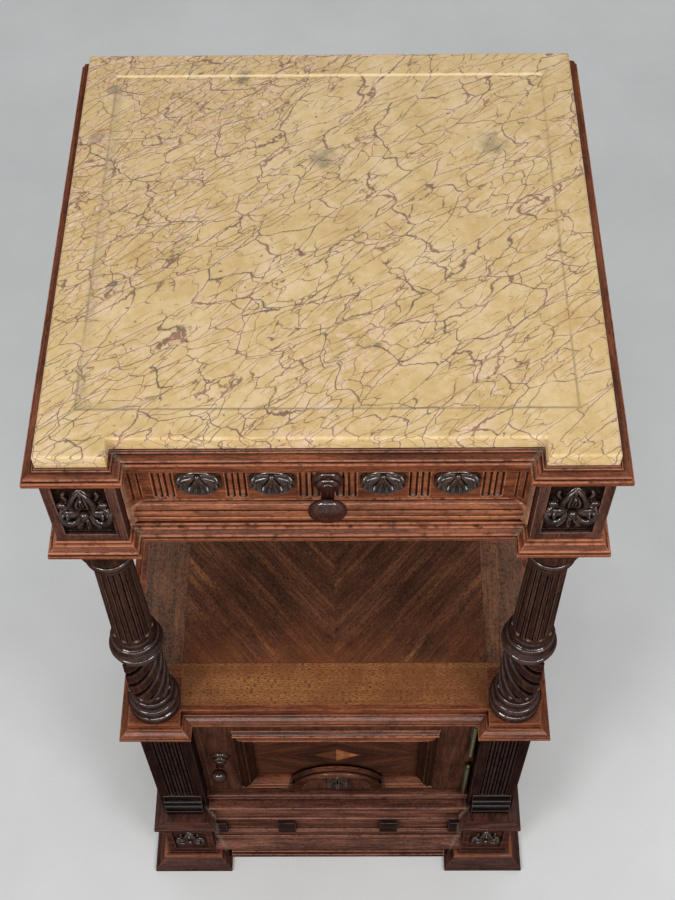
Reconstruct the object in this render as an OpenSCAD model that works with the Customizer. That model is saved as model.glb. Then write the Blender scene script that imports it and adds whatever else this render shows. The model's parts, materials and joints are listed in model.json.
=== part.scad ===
// Bedside pot cupboard: a marble top on a drawer block, an open niche between two turned
// columns, and a small door cupboard below, on a moulded plinth with four feet.
// Millimetres. X runs to the right, Y to the back, Z up. The origin lies on the floor under
// the middle of the whole footprint. Every setback is measured back from the cornice's front.

/* [Plan] */
// Width over the cornice
cornice_w = 420; // [412:1:430]
// Depth over the cornice
cornice_d = 418; // [410:1:430]
// Width of the square blocks over and under the columns
block_w = 70; // [68:1:72]
// How far the middle of the front stands back behind those blocks
recess = 15; // [13:0.5:17]
// How far the mouldings stand out from the case
mould_out = 10; // [9.8:0.1:11]

/* [Heights] */
// Height of the feet and the plinth
foot_h = 126; // [122:1:130]
// Height of the lower posts, from the feet to the shelf moulding
post_h = 273.2; // [270:0.2:284]
// Thickness of the shelf and its moulding
shelf_t = 18.3; // [18:0.1:22]
// Height of the columns
column_h = 353.2; // [345:0.2:370]
// Thickness of the moulding and rails under the drawer
rail_t = 14.6; // [14:0.1:17]
// Height of the corner blocks beside the drawer
block_h = 85.9; // [84:0.1:92]
// Height of the cornice
cornice_h = 11.1; // [10.8:0.1:14]
// Thickness of the marble
marble_t = 13; // [12:0.5:20]

/* [Marble top] */
// Width of the flat margin round the sunk field
field_margin = 24; // [16:1:32]
// Depth of the sunk field
field_sink = 1.2; // [0.6:0.1:2]
// Rounding of the upper edge
marble_edge = 2.2; // [1:0.1:3]

/* [Corner blocks] */
// Width of a corner block
corner_w = 53; // [51:0.5:54]
// Margin round its sunk panel
corner_margin = 7.5; // [6:0.5:9]
// Depth of its sunk panel
corner_sink = 4; // [2:0.5:6]
// Thickness of the aprons between the blocks and the rear posts
apron_t = 16; // [12:0.5:16]

/* [Drawer] */
// Setback of the drawer's frieze
frieze_set = 28; // [26:0.5:30]
// Thickness of the drawer front behind the frieze
drawer_front_t = 20; // [16:1:24]
// Width of the hollow cove at each end of the frieze
cove_w = 18.7; // [17:0.1:20]
// Radius of the hollow coves at the ends of the frieze
cove_r = 24; // [24:0.5:28]
// Gap round the drawer front
drawer_gap = 0.8; // [0.5:0.1:1.5]
// Gap between the drawer sides and their guides
guide_gap = 0.4; // [0.3:0.1:0.8]
// Gap under the drawer sides, over the runners
runner_gap = 0.3; // [0.2:0.1:0.5]
// Height of the two rounds along the drawer's lower edge
drawer_round_h = 20; // [18:0.5:21]
// Free space behind the drawer
drawer_rear_gap = 29; // [22:1:70]
// Height of the drawer sides
drawer_side_h = 64; // [56:1:68]
// Thickness of the drawer sides and back
drawer_side_t = 12; // [9:0.5:14]
// Thickness of the drawer bottom
drawer_bottom_t = 6; // [4:0.5:8]
// Depth of the groove that holds the drawer bottom
drawer_groove = 4; // [3:0.5:6]
// Width of a frieze flute
frieze_flute_w = 6.4; // [5.5:0.1:7]
// Spacing of the two flutes of a pair
frieze_flute_pitch = 8.6; // [8:0.1:9.6]
// Distance from the outer pair of flutes to the cove
frieze_edge = 9.8; // [9:0.1:12]

/* [Columns] */
// Number of straight flutes on the upper shaft
flute_n = 14; // [10:1:14]
// Radius of the shaft under the capital
shaft_top_r = 16; // [15:0.2:16.4]
// Radius of the shaft over the collar
shaft_foot_r = 18; // [17.4:0.2:18.6]
// Radius of the great round of the collar
collar_r = 24.8; // [23.5:0.1:26]
// Radius of the lower shaft under the collar
lower_top_r = 18.6; // [18:0.2:19.4]
// Radius of the lower shaft over the base
lower_foot_r = 20.4; // [19.6:0.2:20.6]
// Radius of the base round
base_r = 25; // [24:0.1:26]
// Height of the lower part of the column, up to the middle of the collar
collar_z = 137.5; // [130:0.5:150]

/* [Rear posts] */
// Side of the square rear posts
rear_post_w = 36; // [30:1:40]
// Thickness of the back panels
back_t = 8; // [6:0.5:10]

/* [Lower case] */
// Width of the lower front posts
post_w = 51; // [49:0.5:52]
// Depth of the lower front posts
post_d = 50; // [44:1:56]
// Setback of the lower front posts
post_set = 26; // [25:0.5:27]
// Spacing of the flutes on the lower posts
post_flute_pitch = 7.6; // [7:0.1:8]
// Radius of the flutes on the lower posts
post_flute_r = 3; // [2.4:0.1:3.2]
// Width of the dark base in front of a post
post_base_w = 43; // [40:0.5:46]
// How far that base stands in front of the post
post_base_out = 8; // [7:0.5:9]
// Height of that base
post_base_h = 40; // [36:1:44]
// Thickness of the side frames
side_t = 18; // [14:1:20]
// Thickness of the side panels
side_panel_t = 8; // [6:0.5:10]
// Height of the top and bottom rails of the side frames
side_rail_h = 56; // [40:1:70]
// Width of the stiles of the side frames
side_stile_w = 30; // [24:1:40]
// Thickness of the cupboard's bottom
bottom_t = 9.5; // [9:0.5:12]

/* [Door] */
// Setback of the door's face
door_set = 44; // [43:0.5:45]
// Thickness of the door
door_t = 20; // [18:0.5:22]
// Height of the door
door_h = 209.5; // [200:0.5:212]
// Gap round the door
door_gap = 0.5; // [0.5:0.1:1]
// Width of the strips beside the door
jamb_w = 6; // [5.5:0.1:6.5]
// Width from the door's edge to the panel moulding
stile_w = 33; // [31:0.5:35]
// Height from the door's foot to the panel moulding
rail_h = 22; // [20:0.5:26]
// Height of the panel moulding's outer edge
panel_h = 157; // [150:1:160]
// Width of the panel moulding
panel_mould_w = 20; // [18:0.5:22]
// How far the panel moulding stands out
panel_mould_out = 8; // [7:0.2:8.6]
// Radius of the arch's outer edge
arch_r = 54; // [50:1:56]
// Width of the arch's moulding
arch_w = 17; // [15:0.5:19]
// Thickness of the door panel
panel_t = 8; // [6:0.5:10]
// How deep the panel lies behind the door's face
panel_sink = 3; // [2:0.2:4]

/* [Hinges, knobs and catch] */
// Radius of the hinge barrels
barrel_r = 3; // [2.8:0.1:3.1]
// Length of a hinge between its finials
hinge_h = 78; // [70:1:80]
// How far the hinge axis lies in front of the door
hinge_front = 5; // [4.8:0.1:5.4]
// How far the hinge axis lies beyond the door's edge
hinge_side = 2; // [1.8:0.1:2.2]
// Radius of the hinge pins
pin_r = 1.5; // [1.2:0.1:1.7]
// Radial play of the pins and of the latch spindle
fit_play = 0.05; // [0.02:0.01:0.08]
// Thickness of the hinge leaves
leaf_t = 1.2; // [1:0.1:1.4]
// Depth of the hinge leaves, let into the wood
leaf_d = 16; // [12:1:18]
// Distance of the hinges from the foot and the top of the door
hinge_end = 6.5; // [6.5:0.5:8]
// Radius of the drawer knob
drawer_knob_r = 14; // [12:0.2:14.4]
// How far the drawer knob stands out from the frieze
drawer_knob_out = 37; // [32:0.5:38]
// Height of the drawer knob over the runner level
drawer_knob_z = 51.7; // [46:0.1:56]
// Radius of the door knob
door_knob_r = 8.8; // [8:0.2:9.4]
// How far the door knob stands out from the door
door_knob_out = 30; // [26:0.5:34]
// Height of the door knob over the door's foot
door_knob_z = 107; // [100:1:114]
// Length of the latch tongue from its spindle
tongue_l = 20.5; // [19:0.1:20.9]
// Width of the latch tongue
tongue_w = 10; // [8:0.5:11]
// Thickness of the latch tongue
tongue_t = 3; // [2:0.2:4]
// Radius of the latch spindle
spindle_r = 3; // [2.4:0.1:3.4]

/* [Plinth and feet] */
// Width of a foot over its flare
flare_w = 92.5; // [90:0.5:94]
// How far the flare stands out from the foot's block
flare_out = 19; // [18:0.5:20]
// Height of the flare
flare_h = 22; // [20:0.5:26]
// Gap under the plinth between the feet
plinth_lift = 5; // [3:0.5:6]
// Setback of the plinth's foot moulding
plinth_set = 4.5; // [3.5:0.5:5.5]
// Thickness of the plinth boards
plinth_t = 26; // [22:1:30]
// How far the plinth's frieze stands back behind its foot moulding
plinth_step = 19.5; // [19:0.1:20]
// Width of the two inner dark blocks on the plinth
plinth_block_w = 21; // [16:1:26]
// Width of the two end blocks
end_block_w = 14; // [10:1:16]
// Setback of the door sill's round
sill_set = 35; // [34:0.5:36]
// Margin round the sunk panel on a front foot
foot_margin = 7.5; // [6:0.5:9]
// Height of the cap moulding on a foot
foot_cap_h = 16; // [14:0.5:18]
// Depth of the sunk panel on a front foot
foot_sink = 3; // [2:0.5:4]
// Height of the dark blocks on the plinth
plinth_block_h = 43; // [38:1:46]

/* [Carving] */
// Radius of the drawer's leaf rosettes
rosette_r = 16.5; // [14:0.5:17]
// Relief of the carvings
relief = 7; // [5:0.5:8]

/* [Hidden] */
$fn = 48;
part_gap = 0.3;
back_lip = 8;
back_inset = 6;
box_clear = 1;
front_lift = 1.2;
rear_foot_out = 2.25;
flare_over = (flare_w - block_w) / 2;
front = flare_over - (cornice_d + flare_over) / 2;
back = front + cornice_d;
case_back = back - back_lip;
half_w = cornice_w / 2;
case_half = half_w - mould_out;
inner_x = half_w - block_w;
axis_x = half_w - block_w / 2;
axis_y = front + block_w / 2;

shelf_z = foot_h + post_h;
shelf_top = shelf_z + shelf_t;
rail_z = shelf_top + column_h;
drawer_z = rail_z + rail_t;
cornice_z = drawer_z + block_h;
marble_z = cornice_z + cornice_h;
total_h = marble_z + marble_t;

ring_d = 25;
corner_in = axis_x - corner_w / 2;
corner_out = axis_x + corner_w / 2;
corner_back = axis_y + corner_w / 2;
rear_in = case_half - rear_post_w;
rear_front = case_back - rear_post_w;
back_y = case_back - back_inset - back_t;
rail_back = axis_y + block_w / 2;
runner_in = corner_in - corner_w / 2;
apron_in = corner_out - apron_t;

frieze_y = front + frieze_set;
drawer_back_y = frieze_y + drawer_front_t;
drawer_end = case_back - apron_t - drawer_rear_gap;
drawer_half = corner_in - drawer_gap;
frieze_half = drawer_half - cove_w;
frieze_pitch = (frieze_half - frieze_edge) / 4.5;
drawer_box_half = corner_in - box_clear;
drawer_low = drawer_z + front_lift;
drawer_top = cornice_z - drawer_gap;
side_low = drawer_z + runner_gap;
cove_angle = asin(cove_w / cove_r);
groove_z = side_low + drawer_side_h * 0.08;
flute_foot_z = drawer_z + drawer_round_h + 7;
rosette_z = drawer_z + block_h * 0.613;

post_in = axis_x - post_w / 2;
post_out = axis_x + post_w / 2;
post_y = front + post_set;
post_back = post_y + post_d;
door_y = front + door_set;
door_back = door_y + door_t;
sill_top = foot_h + bottom_t;
door_z = sill_top + door_gap;
door_top = door_z + door_h;
door_half = post_in - jamb_w - door_gap;
mould_half = door_half - stile_w;
mould_z = door_z + rail_h;
frame_lap = panel_mould_w * 0.65;
arch_z = mould_z - 1;

hinge_x = door_half + hinge_side;
hinge_y = door_y - hinge_front;
hinge_low_z = door_z + hinge_end;
hinge_high_z = door_top - hinge_end - hinge_h;
knob_x = -(door_half - stile_w / 2);
latch_z = door_z + door_knob_z;

die_half = flare_w / 2 - flare_out;
foot_front = axis_y - die_half;
foot_cap_z = foot_h - foot_cap_h;
plinth_y = front + plinth_set;
plinth_back = plinth_y + plinth_step + plinth_t;
die_in = axis_x - die_half;
rear_foot_back = case_back + rear_foot_out;
rear_foot_y = rear_foot_back - 2 * die_half;
foot_ring_d = 24;

// ---- curves, as [depth behind the outermost line, height] ----

// S-shaped curve between two points
function ogee(a, b, n = 8) = [
    for (i = [0:n])
        let (t = i / n)
        [a.x + (b.x - a.x) * t * t * (3 - 2 * t), a.y + (b.y - a.y) * t]
];

// Half round between two points, standing out by the given amount, or hollow if negative
function round_edge(a, b, out, n = 8) = [
    for (i = [0:n])
        [a.x + (b.x - a.x) * i / n - out * sin(180 * i / n), a.y + (b.y - a.y) * (1 - cos(180 * i / n)) / 2]
];

// Points of an arc in the plane
function arc(centre, r, from, to, n = 8) = [
    for (i = [0:n])
        let (a = from + (to - from) * i / n)
        centre + r * [cos(a), sin(a)]
];

// Closes a curve behind, one millimetre past the depth at which the moulding is cut
function closed(curve, depth) = concat(
    curve,
    [[depth + 1, curve[len(curve) - 1].y], [depth + 1, curve[0].y]]
);

// Points given in shares of a width and a height
function sized(points, w, h) = [for (p = points) [p.x * w, p.y * h]];

// Lifts a list of points
function lifted(points, z) = [for (p = points) p + [0, z]];

// Plan of a moulding that breaks forward before the corner blocks, pulled in by d and ending
// at end_y behind: down the left side, along the front and up the right side
function case_plan(d, end_y) = [
    [d - half_w, end_y],
    [d - half_w, front + d],
    [-inner_x - d, front + d],
    [-inner_x - d, front + recess + d],
    [inner_x + d, front + recess + d],
    [inner_x + d, front + d],
    [half_w - d, front + d],
    [half_w - d, end_y]
];

// Closed rectangle pulled in by d
function rect_plan(x, y0, y1, d) = [
    [-x + d, y1 - d], [-x + d, y0 + d], [x - d, y0 + d], [x - d, y1 - d], [-x + d, y1 - d]
];

// ---- shared solids ----

// Mitred lengths of one profile round a plan: base is the outermost line, inner the same line
// pulled in by depth
module moulding(curve, base, inner, depth) {
    low = min([for (p = curve) p.y]);
    high = max([for (p = curve) p.y]);
    for (i = [0:len(base) - 2]) {
        a = base[i];
        b = base[i + 1];
        way = b - a;
        spread = (base[i] - inner[i]) / depth;
        spread_b = (base[i + 1] - inner[i + 1]) / depth;
        intersection() {
            translate([a.x, a.y, 0])
                rotate([0, 0, atan2(way.y, way.x) + 90])
                    rotate([90, 0, 0])
                        translate([0, 0, -depth - 2])
                            linear_extrude(norm(way) + 2 * depth + 4)
                                polygon(closed(curve, depth));
            translate([0, 0, low - 1])
                linear_extrude(high - low + 2)
                    polygon([a + spread, b + spread_b, inner[i + 1], inner[i]]);
        }
    }
}

// Length of one profile along X, between x0 and x1, its outermost line at y
module run_x(curve, x0, x1, y, depth) {
    translate([x0, y, 0])
        rotate([90, 0, 90])
            linear_extrude(x1 - x0)
                polygon(closed(curve, depth - 1));
}

// Box between two corners
module block(low, high) {
    translate(low)
        cube(high - low);
}

// Copies its children to the right-hand side when side is 1 and to the left when it is -1
module on_side(side) {
    if (side < 0)
        mirror([1, 0, 0])
            children();
    else
        children();
}

// Lobed boss lying on its back: lobes of leaf round a bead, thickness h
module boss(r, h, lobes, bead_r) {
    steps = lobes * 8;
    linear_extrude(h * 0.55)
        polygon([
            for (i = [0:steps - 1])
                let (a = 360 * i / steps)
                r * (1 - 0.09 * (1 - cos(lobes * a))) * [cos(a), sin(a)]
        ]);
    linear_extrude(h * 0.8)
        polygon([
            for (i = [0:steps - 1])
                let (a = 360 * i / steps)
                r * 0.66 * (1 - 0.12 * (1 + cos(lobes * a))) * [cos(a), sin(a)]
        ]);
    intersection() {
        translate([0, 0, h - bead_r])
            sphere(bead_r);
        cylinder(r = r, h = h);
    }
}

// Turns a boss that lies on its back to face the front, on a face at the given place
module facing(x, y, z) {
    translate([x, y, z])
        rotate([90, 0, 0])
            children();
}

// The room that the two rear posts take
module rear_post_room(low, high) {
    for (side = [-1, 1])
        on_side(side)
            block([rear_in, rear_front, low], [case_half, case_back, high]);
}

// ---- top ----

marble_curve = concat(
    [[0, 0]],
    arc([marble_edge, marble_t - marble_edge], marble_edge, 180, 90)
);

module marble_top() {
    depth = 20;
    shift = mould_out;
    color("#d9b56c")
        difference() {
            union() {
                moulding(
                    lifted(marble_curve, marble_z),
                    case_plan(shift, case_back),
                    case_plan(shift + depth, case_back),
                    depth
                );
                translate([0, 0, marble_z])
                    linear_extrude(marble_t)
                        polygon(case_plan(shift + depth - 1, case_back));
            }
            block(
                [-case_half + field_margin, front + mould_out + recess + field_margin, total_h - field_sink],
                [case_half - field_margin, case_back - field_margin, total_h + 1]
            );
        }
}

cornice_curve = concat(
    [[0, 0], [0, 2.4], [1.2, 2.4], [1.2, 3.2]],
    ogee([1.6, 3.2], [8, cornice_h - 2.5]),
    [[9.5, cornice_h - 2.5], [9.5, cornice_h]]
);

module cornice() {
    back_band = 45;
    color("#5c2a1c") {
        moulding(lifted(cornice_curve, cornice_z), case_plan(0, back), case_plan(ring_d, back), ring_d);
        block(
            [ring_d - half_w - 1, back - back_band, cornice_z],
            [half_w - ring_d + 1, back, cornice_z + cornice_h]
        );
    }
}

// ---- drawer block ----

module corner_block() {
    sink_z0 = drawer_z + corner_margin;
    sink_z1 = cornice_z - corner_margin;
    color("#54291b")
        difference() {
            block([corner_in, axis_y - corner_w / 2, drawer_z], [corner_out, corner_back, cornice_z]);
            block(
                [corner_in + corner_margin, axis_y - corner_w / 2 - 1, sink_z0],
                [corner_out - corner_margin, axis_y - corner_w / 2 + corner_sink, sink_z1]
            );
        }
}

module corner_block_left() {
    on_side(-1)
        corner_block();
}

module corner_block_right() {
    on_side(1)
        corner_block();
}

module palmettes() {
    panel_y = axis_y - corner_w / 2 + corner_sink;
    palm_z = drawer_z + block_h / 2;
    palm_r = corner_w / 2 - corner_margin - 1;
    color("#231512")
        for (side = [-1, 1])
            facing(side * axis_x, panel_y, palm_z) {
                boss(palm_r, corner_sink + relief - 1, 7, 4.5);
                translate([0, palm_r * 0.8, 0])
                    cylinder(r = palm_r * 0.62, h = corner_sink);
            }
}

module side_apron() {
    color("#4a2418")
        block([apron_in, corner_back, drawer_z], [corner_out, rear_front, cornice_z]);
}

module side_apron_left() {
    on_side(-1)
        side_apron();
}

module side_apron_right() {
    on_side(1)
        side_apron();
}

module back_apron() {
    color("#4a2418")
        block([-rear_in, case_back - apron_t, rail_z], [rear_in, case_back, cornice_z]);
}

rail_curve = concat(
    [[0, 0], [0, 3.3], [1.4, 3.3], [1.4, 4.2]],
    ogee([1.2, 4.6], [6, rail_t - 3.3]),
    [[7.6, rail_t - 3.3], [7.6, rail_t - 2.8]],
    round_edge([7.6, rail_t - 2.8], [7.6, rail_t], 1.1)
);

// The moulding under the drawer, with the front rail and the pads over the two columns
module case_moulding() {
    color("#5c2a1c")
        difference() {
            union() {
                moulding(
                    lifted(rail_curve, rail_z), case_plan(0, case_back), case_plan(ring_d, case_back), ring_d
                );
                block(
                    [ring_d - half_w - 1, front + recess + ring_d - 1, rail_z],
                    [half_w - ring_d + 1, rail_back, drawer_z]
                );
                for (side = [-1, 1])
                    on_side(side)
                        block(
                            [inner_x + ring_d - 1, front + ring_d - 1, rail_z],
                            [half_w - ring_d + 1, rail_back, drawer_z]
                        );
            }
            rear_post_room(rail_z - 1, drawer_z + 1);
        }
}

module drawer_runner() {
    color("#8a6a45")
        block([runner_in, rail_back, rail_z], [half_w - ring_d, rear_front, drawer_z]);
}

module drawer_runner_left() {
    on_side(-1)
        drawer_runner();
}

module drawer_runner_right() {
    on_side(1)
        drawer_runner();
}

// Strips that keep the drawer straight between the corner blocks and the rear posts
module drawer_guides() {
    color("#8a6a45")
        for (side = [-1, 1])
            on_side(side)
                block(
                    [drawer_box_half + guide_gap, corner_back, drawer_z],
                    [apron_in, rear_front, drawer_z + drawer_side_h * 0.24]
                );
}

// Strips over the drawer sides that keep it from tipping when it is pulled out
module drawer_kickers() {
    kick_low = side_low + drawer_side_h + 1;
    side_lap = 6;
    color("#8a6a45")
        for (side = [-1, 1])
            on_side(side)
                block(
                    [drawer_box_half - drawer_side_t - side_lap, corner_back, kick_low],
                    [apron_in, rear_front, cornice_z]
                );
}

module dust_board() {
    board_t = 6;
    board_z = rail_z + (rail_t - board_t) / 2;
    color("#7d5f3d")
        block([-runner_in, rail_back, board_z], [runner_in, case_back - apron_t, board_z + board_t]);
}

// ---- drawer ----

// Right-hand half of the drawer front's plan, from the frieze round the cove to the back
drawer_half_plan = concat(
    arc([frieze_half, frieze_y - cove_r], cove_r, 90, 90 - cove_angle, 10),
    [[drawer_half, drawer_back_y]]
);

drawer_round_curve = concat(
    round_edge([4, 0], [4, drawer_round_h * 0.54], 4),
    round_edge([5.2, drawer_round_h * 0.57], [5.2, drawer_round_h], 3.4)
);

// One sunk flute with a rounded foot, standing on the frieze
module frieze_flute(x, y) {
    r = frieze_flute_w / 2 + 0.2;
    translate([x, y - 1, flute_foot_z + r]) {
        cylinder(r = r, h = block_h);
        sphere(r);
    }
}

module drawer_front() {
    round_out = 7;
    round_half = drawer_half - 2.5;
    last = len(drawer_half_plan) - 1;
    color("#5a2b1c")
        difference() {
            union() {
                translate([0, 0, drawer_low])
                    linear_extrude(drawer_top - drawer_low)
                        polygon(concat(
                            drawer_half_plan,
                            [for (i = [last:-1:0]) [-drawer_half_plan[i].x, drawer_half_plan[i].y]]
                        ));
                run_x(
                    lifted(drawer_round_curve, drawer_low),
                    -round_half, round_half, frieze_y - round_out, round_out + 3
                );
            }
            for (place = [0.5:2:4.5])
                for (k = [-0.5, 0.5])
                    for (side = [-1, 1])
                        frieze_flute(side * (place * frieze_pitch + k * frieze_flute_pitch), frieze_y);
            for (side = [-1, 1])
                for (a = [14, 25, 36])
                    translate([
                        side * (frieze_half + cove_r * sin(a)),
                        frieze_y - cove_r * (1 - cos(a)),
                        flute_foot_z
                    ])
                        cylinder(r = 1.1, h = block_h);
            facing(0, frieze_y + drawer_front_t + 1, drawer_z + drawer_knob_z)
                cylinder(r = spindle_r + fit_play, h = drawer_front_t + 2);
        }
}

module drawer_side() {
    inside = drawer_box_half - drawer_side_t;
    color("#9a7448")
        difference() {
            block(
                [inside, drawer_back_y, side_low],
                [drawer_box_half, drawer_end, side_low + drawer_side_h]
            );
            block(
                [inside - 1, drawer_back_y - 1, groove_z],
                [inside + drawer_groove, drawer_end + 1, groove_z + drawer_bottom_t]
            );
        }
}

module drawer_side_left() {
    on_side(-1)
        drawer_side();
}

module drawer_side_right() {
    on_side(1)
        drawer_side();
}

module drawer_back() {
    half = drawer_box_half - drawer_side_t;
    color("#9a7448")
        block(
            [-half, drawer_end - drawer_side_t, groove_z + drawer_bottom_t],
            [half, drawer_end, side_low + drawer_side_h * 0.9]
        );
}

module drawer_bottom() {
    half = drawer_box_half - drawer_side_t + drawer_groove;
    color("#a88250")
        block(
            [-half, drawer_back_y, groove_z],
            [half, drawer_end, groove_z + drawer_bottom_t]
        );
}

module drawer_rosettes() {
    color("#231512")
        for (place = [-3.5, -1.5, 1.5, 3.5])
            facing(place * frieze_pitch, frieze_y, rosette_z)
                boss(rosette_r, relief, 8, relief * 0.57);
}

// Turned knob lying on its back on a shank that goes through the wood behind it
module turned_knob(r, out, flange_r, neck_r, shank) {
    ball_h = r * 1.7;
    rotate_extrude()
        polygon(concat(
            [[0, -shank], [spindle_r, -shank], [spindle_r, 0], [flange_r, 0], [flange_r, 2]],
            [[flange_r * 0.9, 3], [flange_r * 0.7, 3.4], [flange_r * 0.72, 5], [neck_r, 6.5]],
            [[neck_r, out - ball_h - 1.5], [neck_r * 1.15, out - ball_h]],
            [
                for (i = [1:12])
                    let (a = -68 + 158 * i / 12)
                    [r * cos(a), out - ball_h / 2 + ball_h / 2 * sin(a)]
            ],
            [[0, out]]
        ));
}

module drawer_knob() {
    color("#3a1d15")
        facing(0, frieze_y, drawer_z + drawer_knob_z)
            turned_knob(
                drawer_knob_r, drawer_knob_out, drawer_knob_r * 0.82, drawer_knob_r * 0.47, drawer_front_t
            );
}

// ---- columns ----

// Profile of a column from its foot at 0 to its head
function column_curve() =
    let (shaft_z = collar_z + 27.5, ring_z = column_h - 58)
    concat(
        [[0, 0], [base_r - 0.5, 0], [base_r - 0.5, 9]],
        column_round(base_r - 3.5, 11, 24, 3.5),
        [[base_r - 5, 25], [base_r - 5.4, 27]],
        column_round(base_r - 6, 28, 37, 2.6),
        [[lower_foot_r - 1, 38], [lower_foot_r - 1, 41], [lower_foot_r, 44]],
        [[lower_top_r, collar_z - 9], [21, collar_z - 9], [21, collar_z - 6]],
        column_round(collar_r - 5, collar_z - 6, collar_z + 6, 5),
        [[20, collar_z + 7], [20, collar_z + 9]],
        column_round(19.6, collar_z + 10, collar_z + 18, 2),
        [[19.4, collar_z + 19], [19.4, collar_z + 25], [shaft_foot_r, shaft_z]],
        [[shaft_top_r, ring_z], [18.4, ring_z], [18.4, ring_z + 3]],
        column_round(18, ring_z + 4, ring_z + 12, 2.5),
        [[18.2, ring_z + 13], [18.2, ring_z + 15], [16.8, ring_z + 16]],
        arc([16.8 + 7.6, ring_z + 16], 7.6, 180, 110, 6),
        [[24.2, column_h - 24], [24.2, column_h - 5], [25, column_h - 4], [25, column_h], [0, column_h]]
    );

// Half round on a turned profile
function column_round(r, z0, z1, out) = [
    for (i = [0:8])
        [r + out * sin(180 * i / 8), z0 + (z1 - z0) * (1 - cos(180 * i / 8)) / 2]
];

module column() {
    flute_z0 = collar_z + 31;
    flute_z1 = column_h - 62;
    lean = atan((shaft_foot_r - shaft_top_r) / (flute_z1 - flute_z0));
    color("#46231a")
        translate([axis_x, axis_y, shelf_top])
            difference() {
                rotate_extrude()
                    polygon(column_curve());
                for (k = [0:flute_n - 1])
                    rotate([0, 0, 360 * (k + 0.5) / flute_n])
                        translate([shaft_foot_r + 1.2, 0, flute_z0])
                            rotate([0, -lean, 0])
                                cylinder(r = 2.6, h = flute_z1 - flute_z0, $fn = 24);
            }
}

module column_left() {
    on_side(-1)
        column();
}

module column_right() {
    on_side(1)
        column();
}

// ---- carcass behind and between ----

module rear_post() {
    color("#43211a")
        block([rear_in, rear_front, foot_h], [case_half, case_back, cornice_z]);
}

module rear_post_left() {
    on_side(-1)
        rear_post();
}

module rear_post_right() {
    on_side(1)
        rear_post();
}

module niche_back() {
    color("#5a3322")
        block([-rear_in, back_y, shelf_top], [rear_in, back_y + back_t, rail_z]);
}

shelf_curve = concat(
    [[0, 0], [0, 2.8], [1.5, 2.8], [1.5, 4]],
    ogee([2, 4], [8, 10]),
    [[mould_out, 10], [mould_out, shelf_t]]
);
shelf_ring_d = 16;

// The moulded frame of the shelf, with the two blocks that the columns stand on
module shelf_frame() {
    color("#5c2a1c")
        difference() {
            union() {
                moulding(
                    lifted(shelf_curve, shelf_z),
                    case_plan(0, case_back), case_plan(shelf_ring_d, case_back), shelf_ring_d
                );
                for (side = [-1, 1])
                    on_side(side)
                        block(
                            [inner_x + mould_out, front + shelf_ring_d - 1, shelf_z],
                            [half_w - shelf_ring_d + 1, rail_back, shelf_top]
                        );
            }
            rear_post_room(shelf_z - 1, shelf_top + 1);
        }
}

module shelf_board() {
    edge_x = half_w - shelf_ring_d;
    edge_y = front + recess + shelf_ring_d;
    color("#6b3d22")
        difference() {
            block([-edge_x, edge_y, shelf_z], [edge_x, case_back, shelf_top]);
            for (side = [-1, 1])
                on_side(side)
                    block(
                        [inner_x + mould_out, edge_y - 1, shelf_z - 1],
                        [edge_x + 1, rail_back, shelf_top + 1]
                    );
            rear_post_room(shelf_z - 1, shelf_top + 1);
        }
}

// ---- lower case ----

module front_post() {
    flute_z = foot_h + post_base_h + 2;
    color("#5f3322")
        difference() {
            block([post_in, post_y, foot_h], [post_out, post_back, shelf_z]);
            for (k = [-1.5:1:1.5])
                translate([axis_x + k * post_flute_pitch, post_y - 0.8, flute_z]) {
                    cylinder(r = post_flute_r, h = post_h);
                    sphere(post_flute_r);
                }
        }
}

module front_post_left() {
    on_side(-1)
        front_post();
}

module front_post_right() {
    on_side(1)
        front_post();
}

post_base_curve = concat(
    [[0, 0], [0, post_base_h * 0.2], [1.5, post_base_h * 0.2]],
    round_edge([3, post_base_h * 0.22], [3, post_base_h * 0.5], 3),
    round_edge([4.2, post_base_h * 0.54], [4.2, post_base_h * 0.78], 2.4),
    [[5, post_base_h * 0.82], [post_base_out - 1, post_base_h]]
);

module post_base() {
    color("#1d1413")
        run_x(
            lifted(post_base_curve, foot_h),
            axis_x - post_base_w / 2, axis_x + post_base_w / 2, post_y - post_base_out, post_base_out
        );
}

module post_base_left() {
    on_side(-1)
        post_base();
}

module post_base_right() {
    on_side(1)
        post_base();
}

module side_frame() {
    side_in = case_half - side_t;
    color("#4f281b") {
        block([side_in, post_back, foot_h], [case_half, rear_front, foot_h + side_rail_h]);
        block([side_in, post_back, shelf_z - side_rail_h], [case_half, rear_front, shelf_z]);
        block([side_in, post_back, foot_h], [case_half, post_back + side_stile_w, shelf_z]);
        block([side_in, rear_front - side_stile_w, foot_h], [case_half, rear_front, shelf_z]);
    }
}

module side_frame_left() {
    on_side(-1)
        side_frame();
}

module side_frame_right() {
    on_side(1)
        side_frame();
}

module side_panel() {
    panel_x = case_half - side_t / 2 - side_panel_t / 2;
    color("#63331f")
        block(
            [panel_x, post_back + side_stile_w, foot_h + side_rail_h],
            [panel_x + side_panel_t, rear_front - side_stile_w, shelf_z - side_rail_h]
        );
}

module side_panel_left() {
    on_side(-1)
        side_panel();
}

module side_panel_right() {
    on_side(1)
        side_panel();
}

module cupboard_back() {
    color("#5a3322")
        block([-rear_in, back_y, sill_top], [rear_in, back_y + back_t, shelf_z]);
}

module cupboard_bottom() {
    edge = case_half - side_t;
    color("#6d4528")
        difference() {
            block([-edge, door_back, foot_h], [edge, back_y + back_t, sill_top]);
            for (side = [-1, 1])
                on_side(side) {
                    block([post_in, door_back - 1, foot_h - 1], [edge + 1, post_back, sill_top + 1]);
                    block([rear_in, rear_front, foot_h - 1], [edge + 1, back_y + back_t + 1, sill_top + 1]);
                }
        }
}

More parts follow.
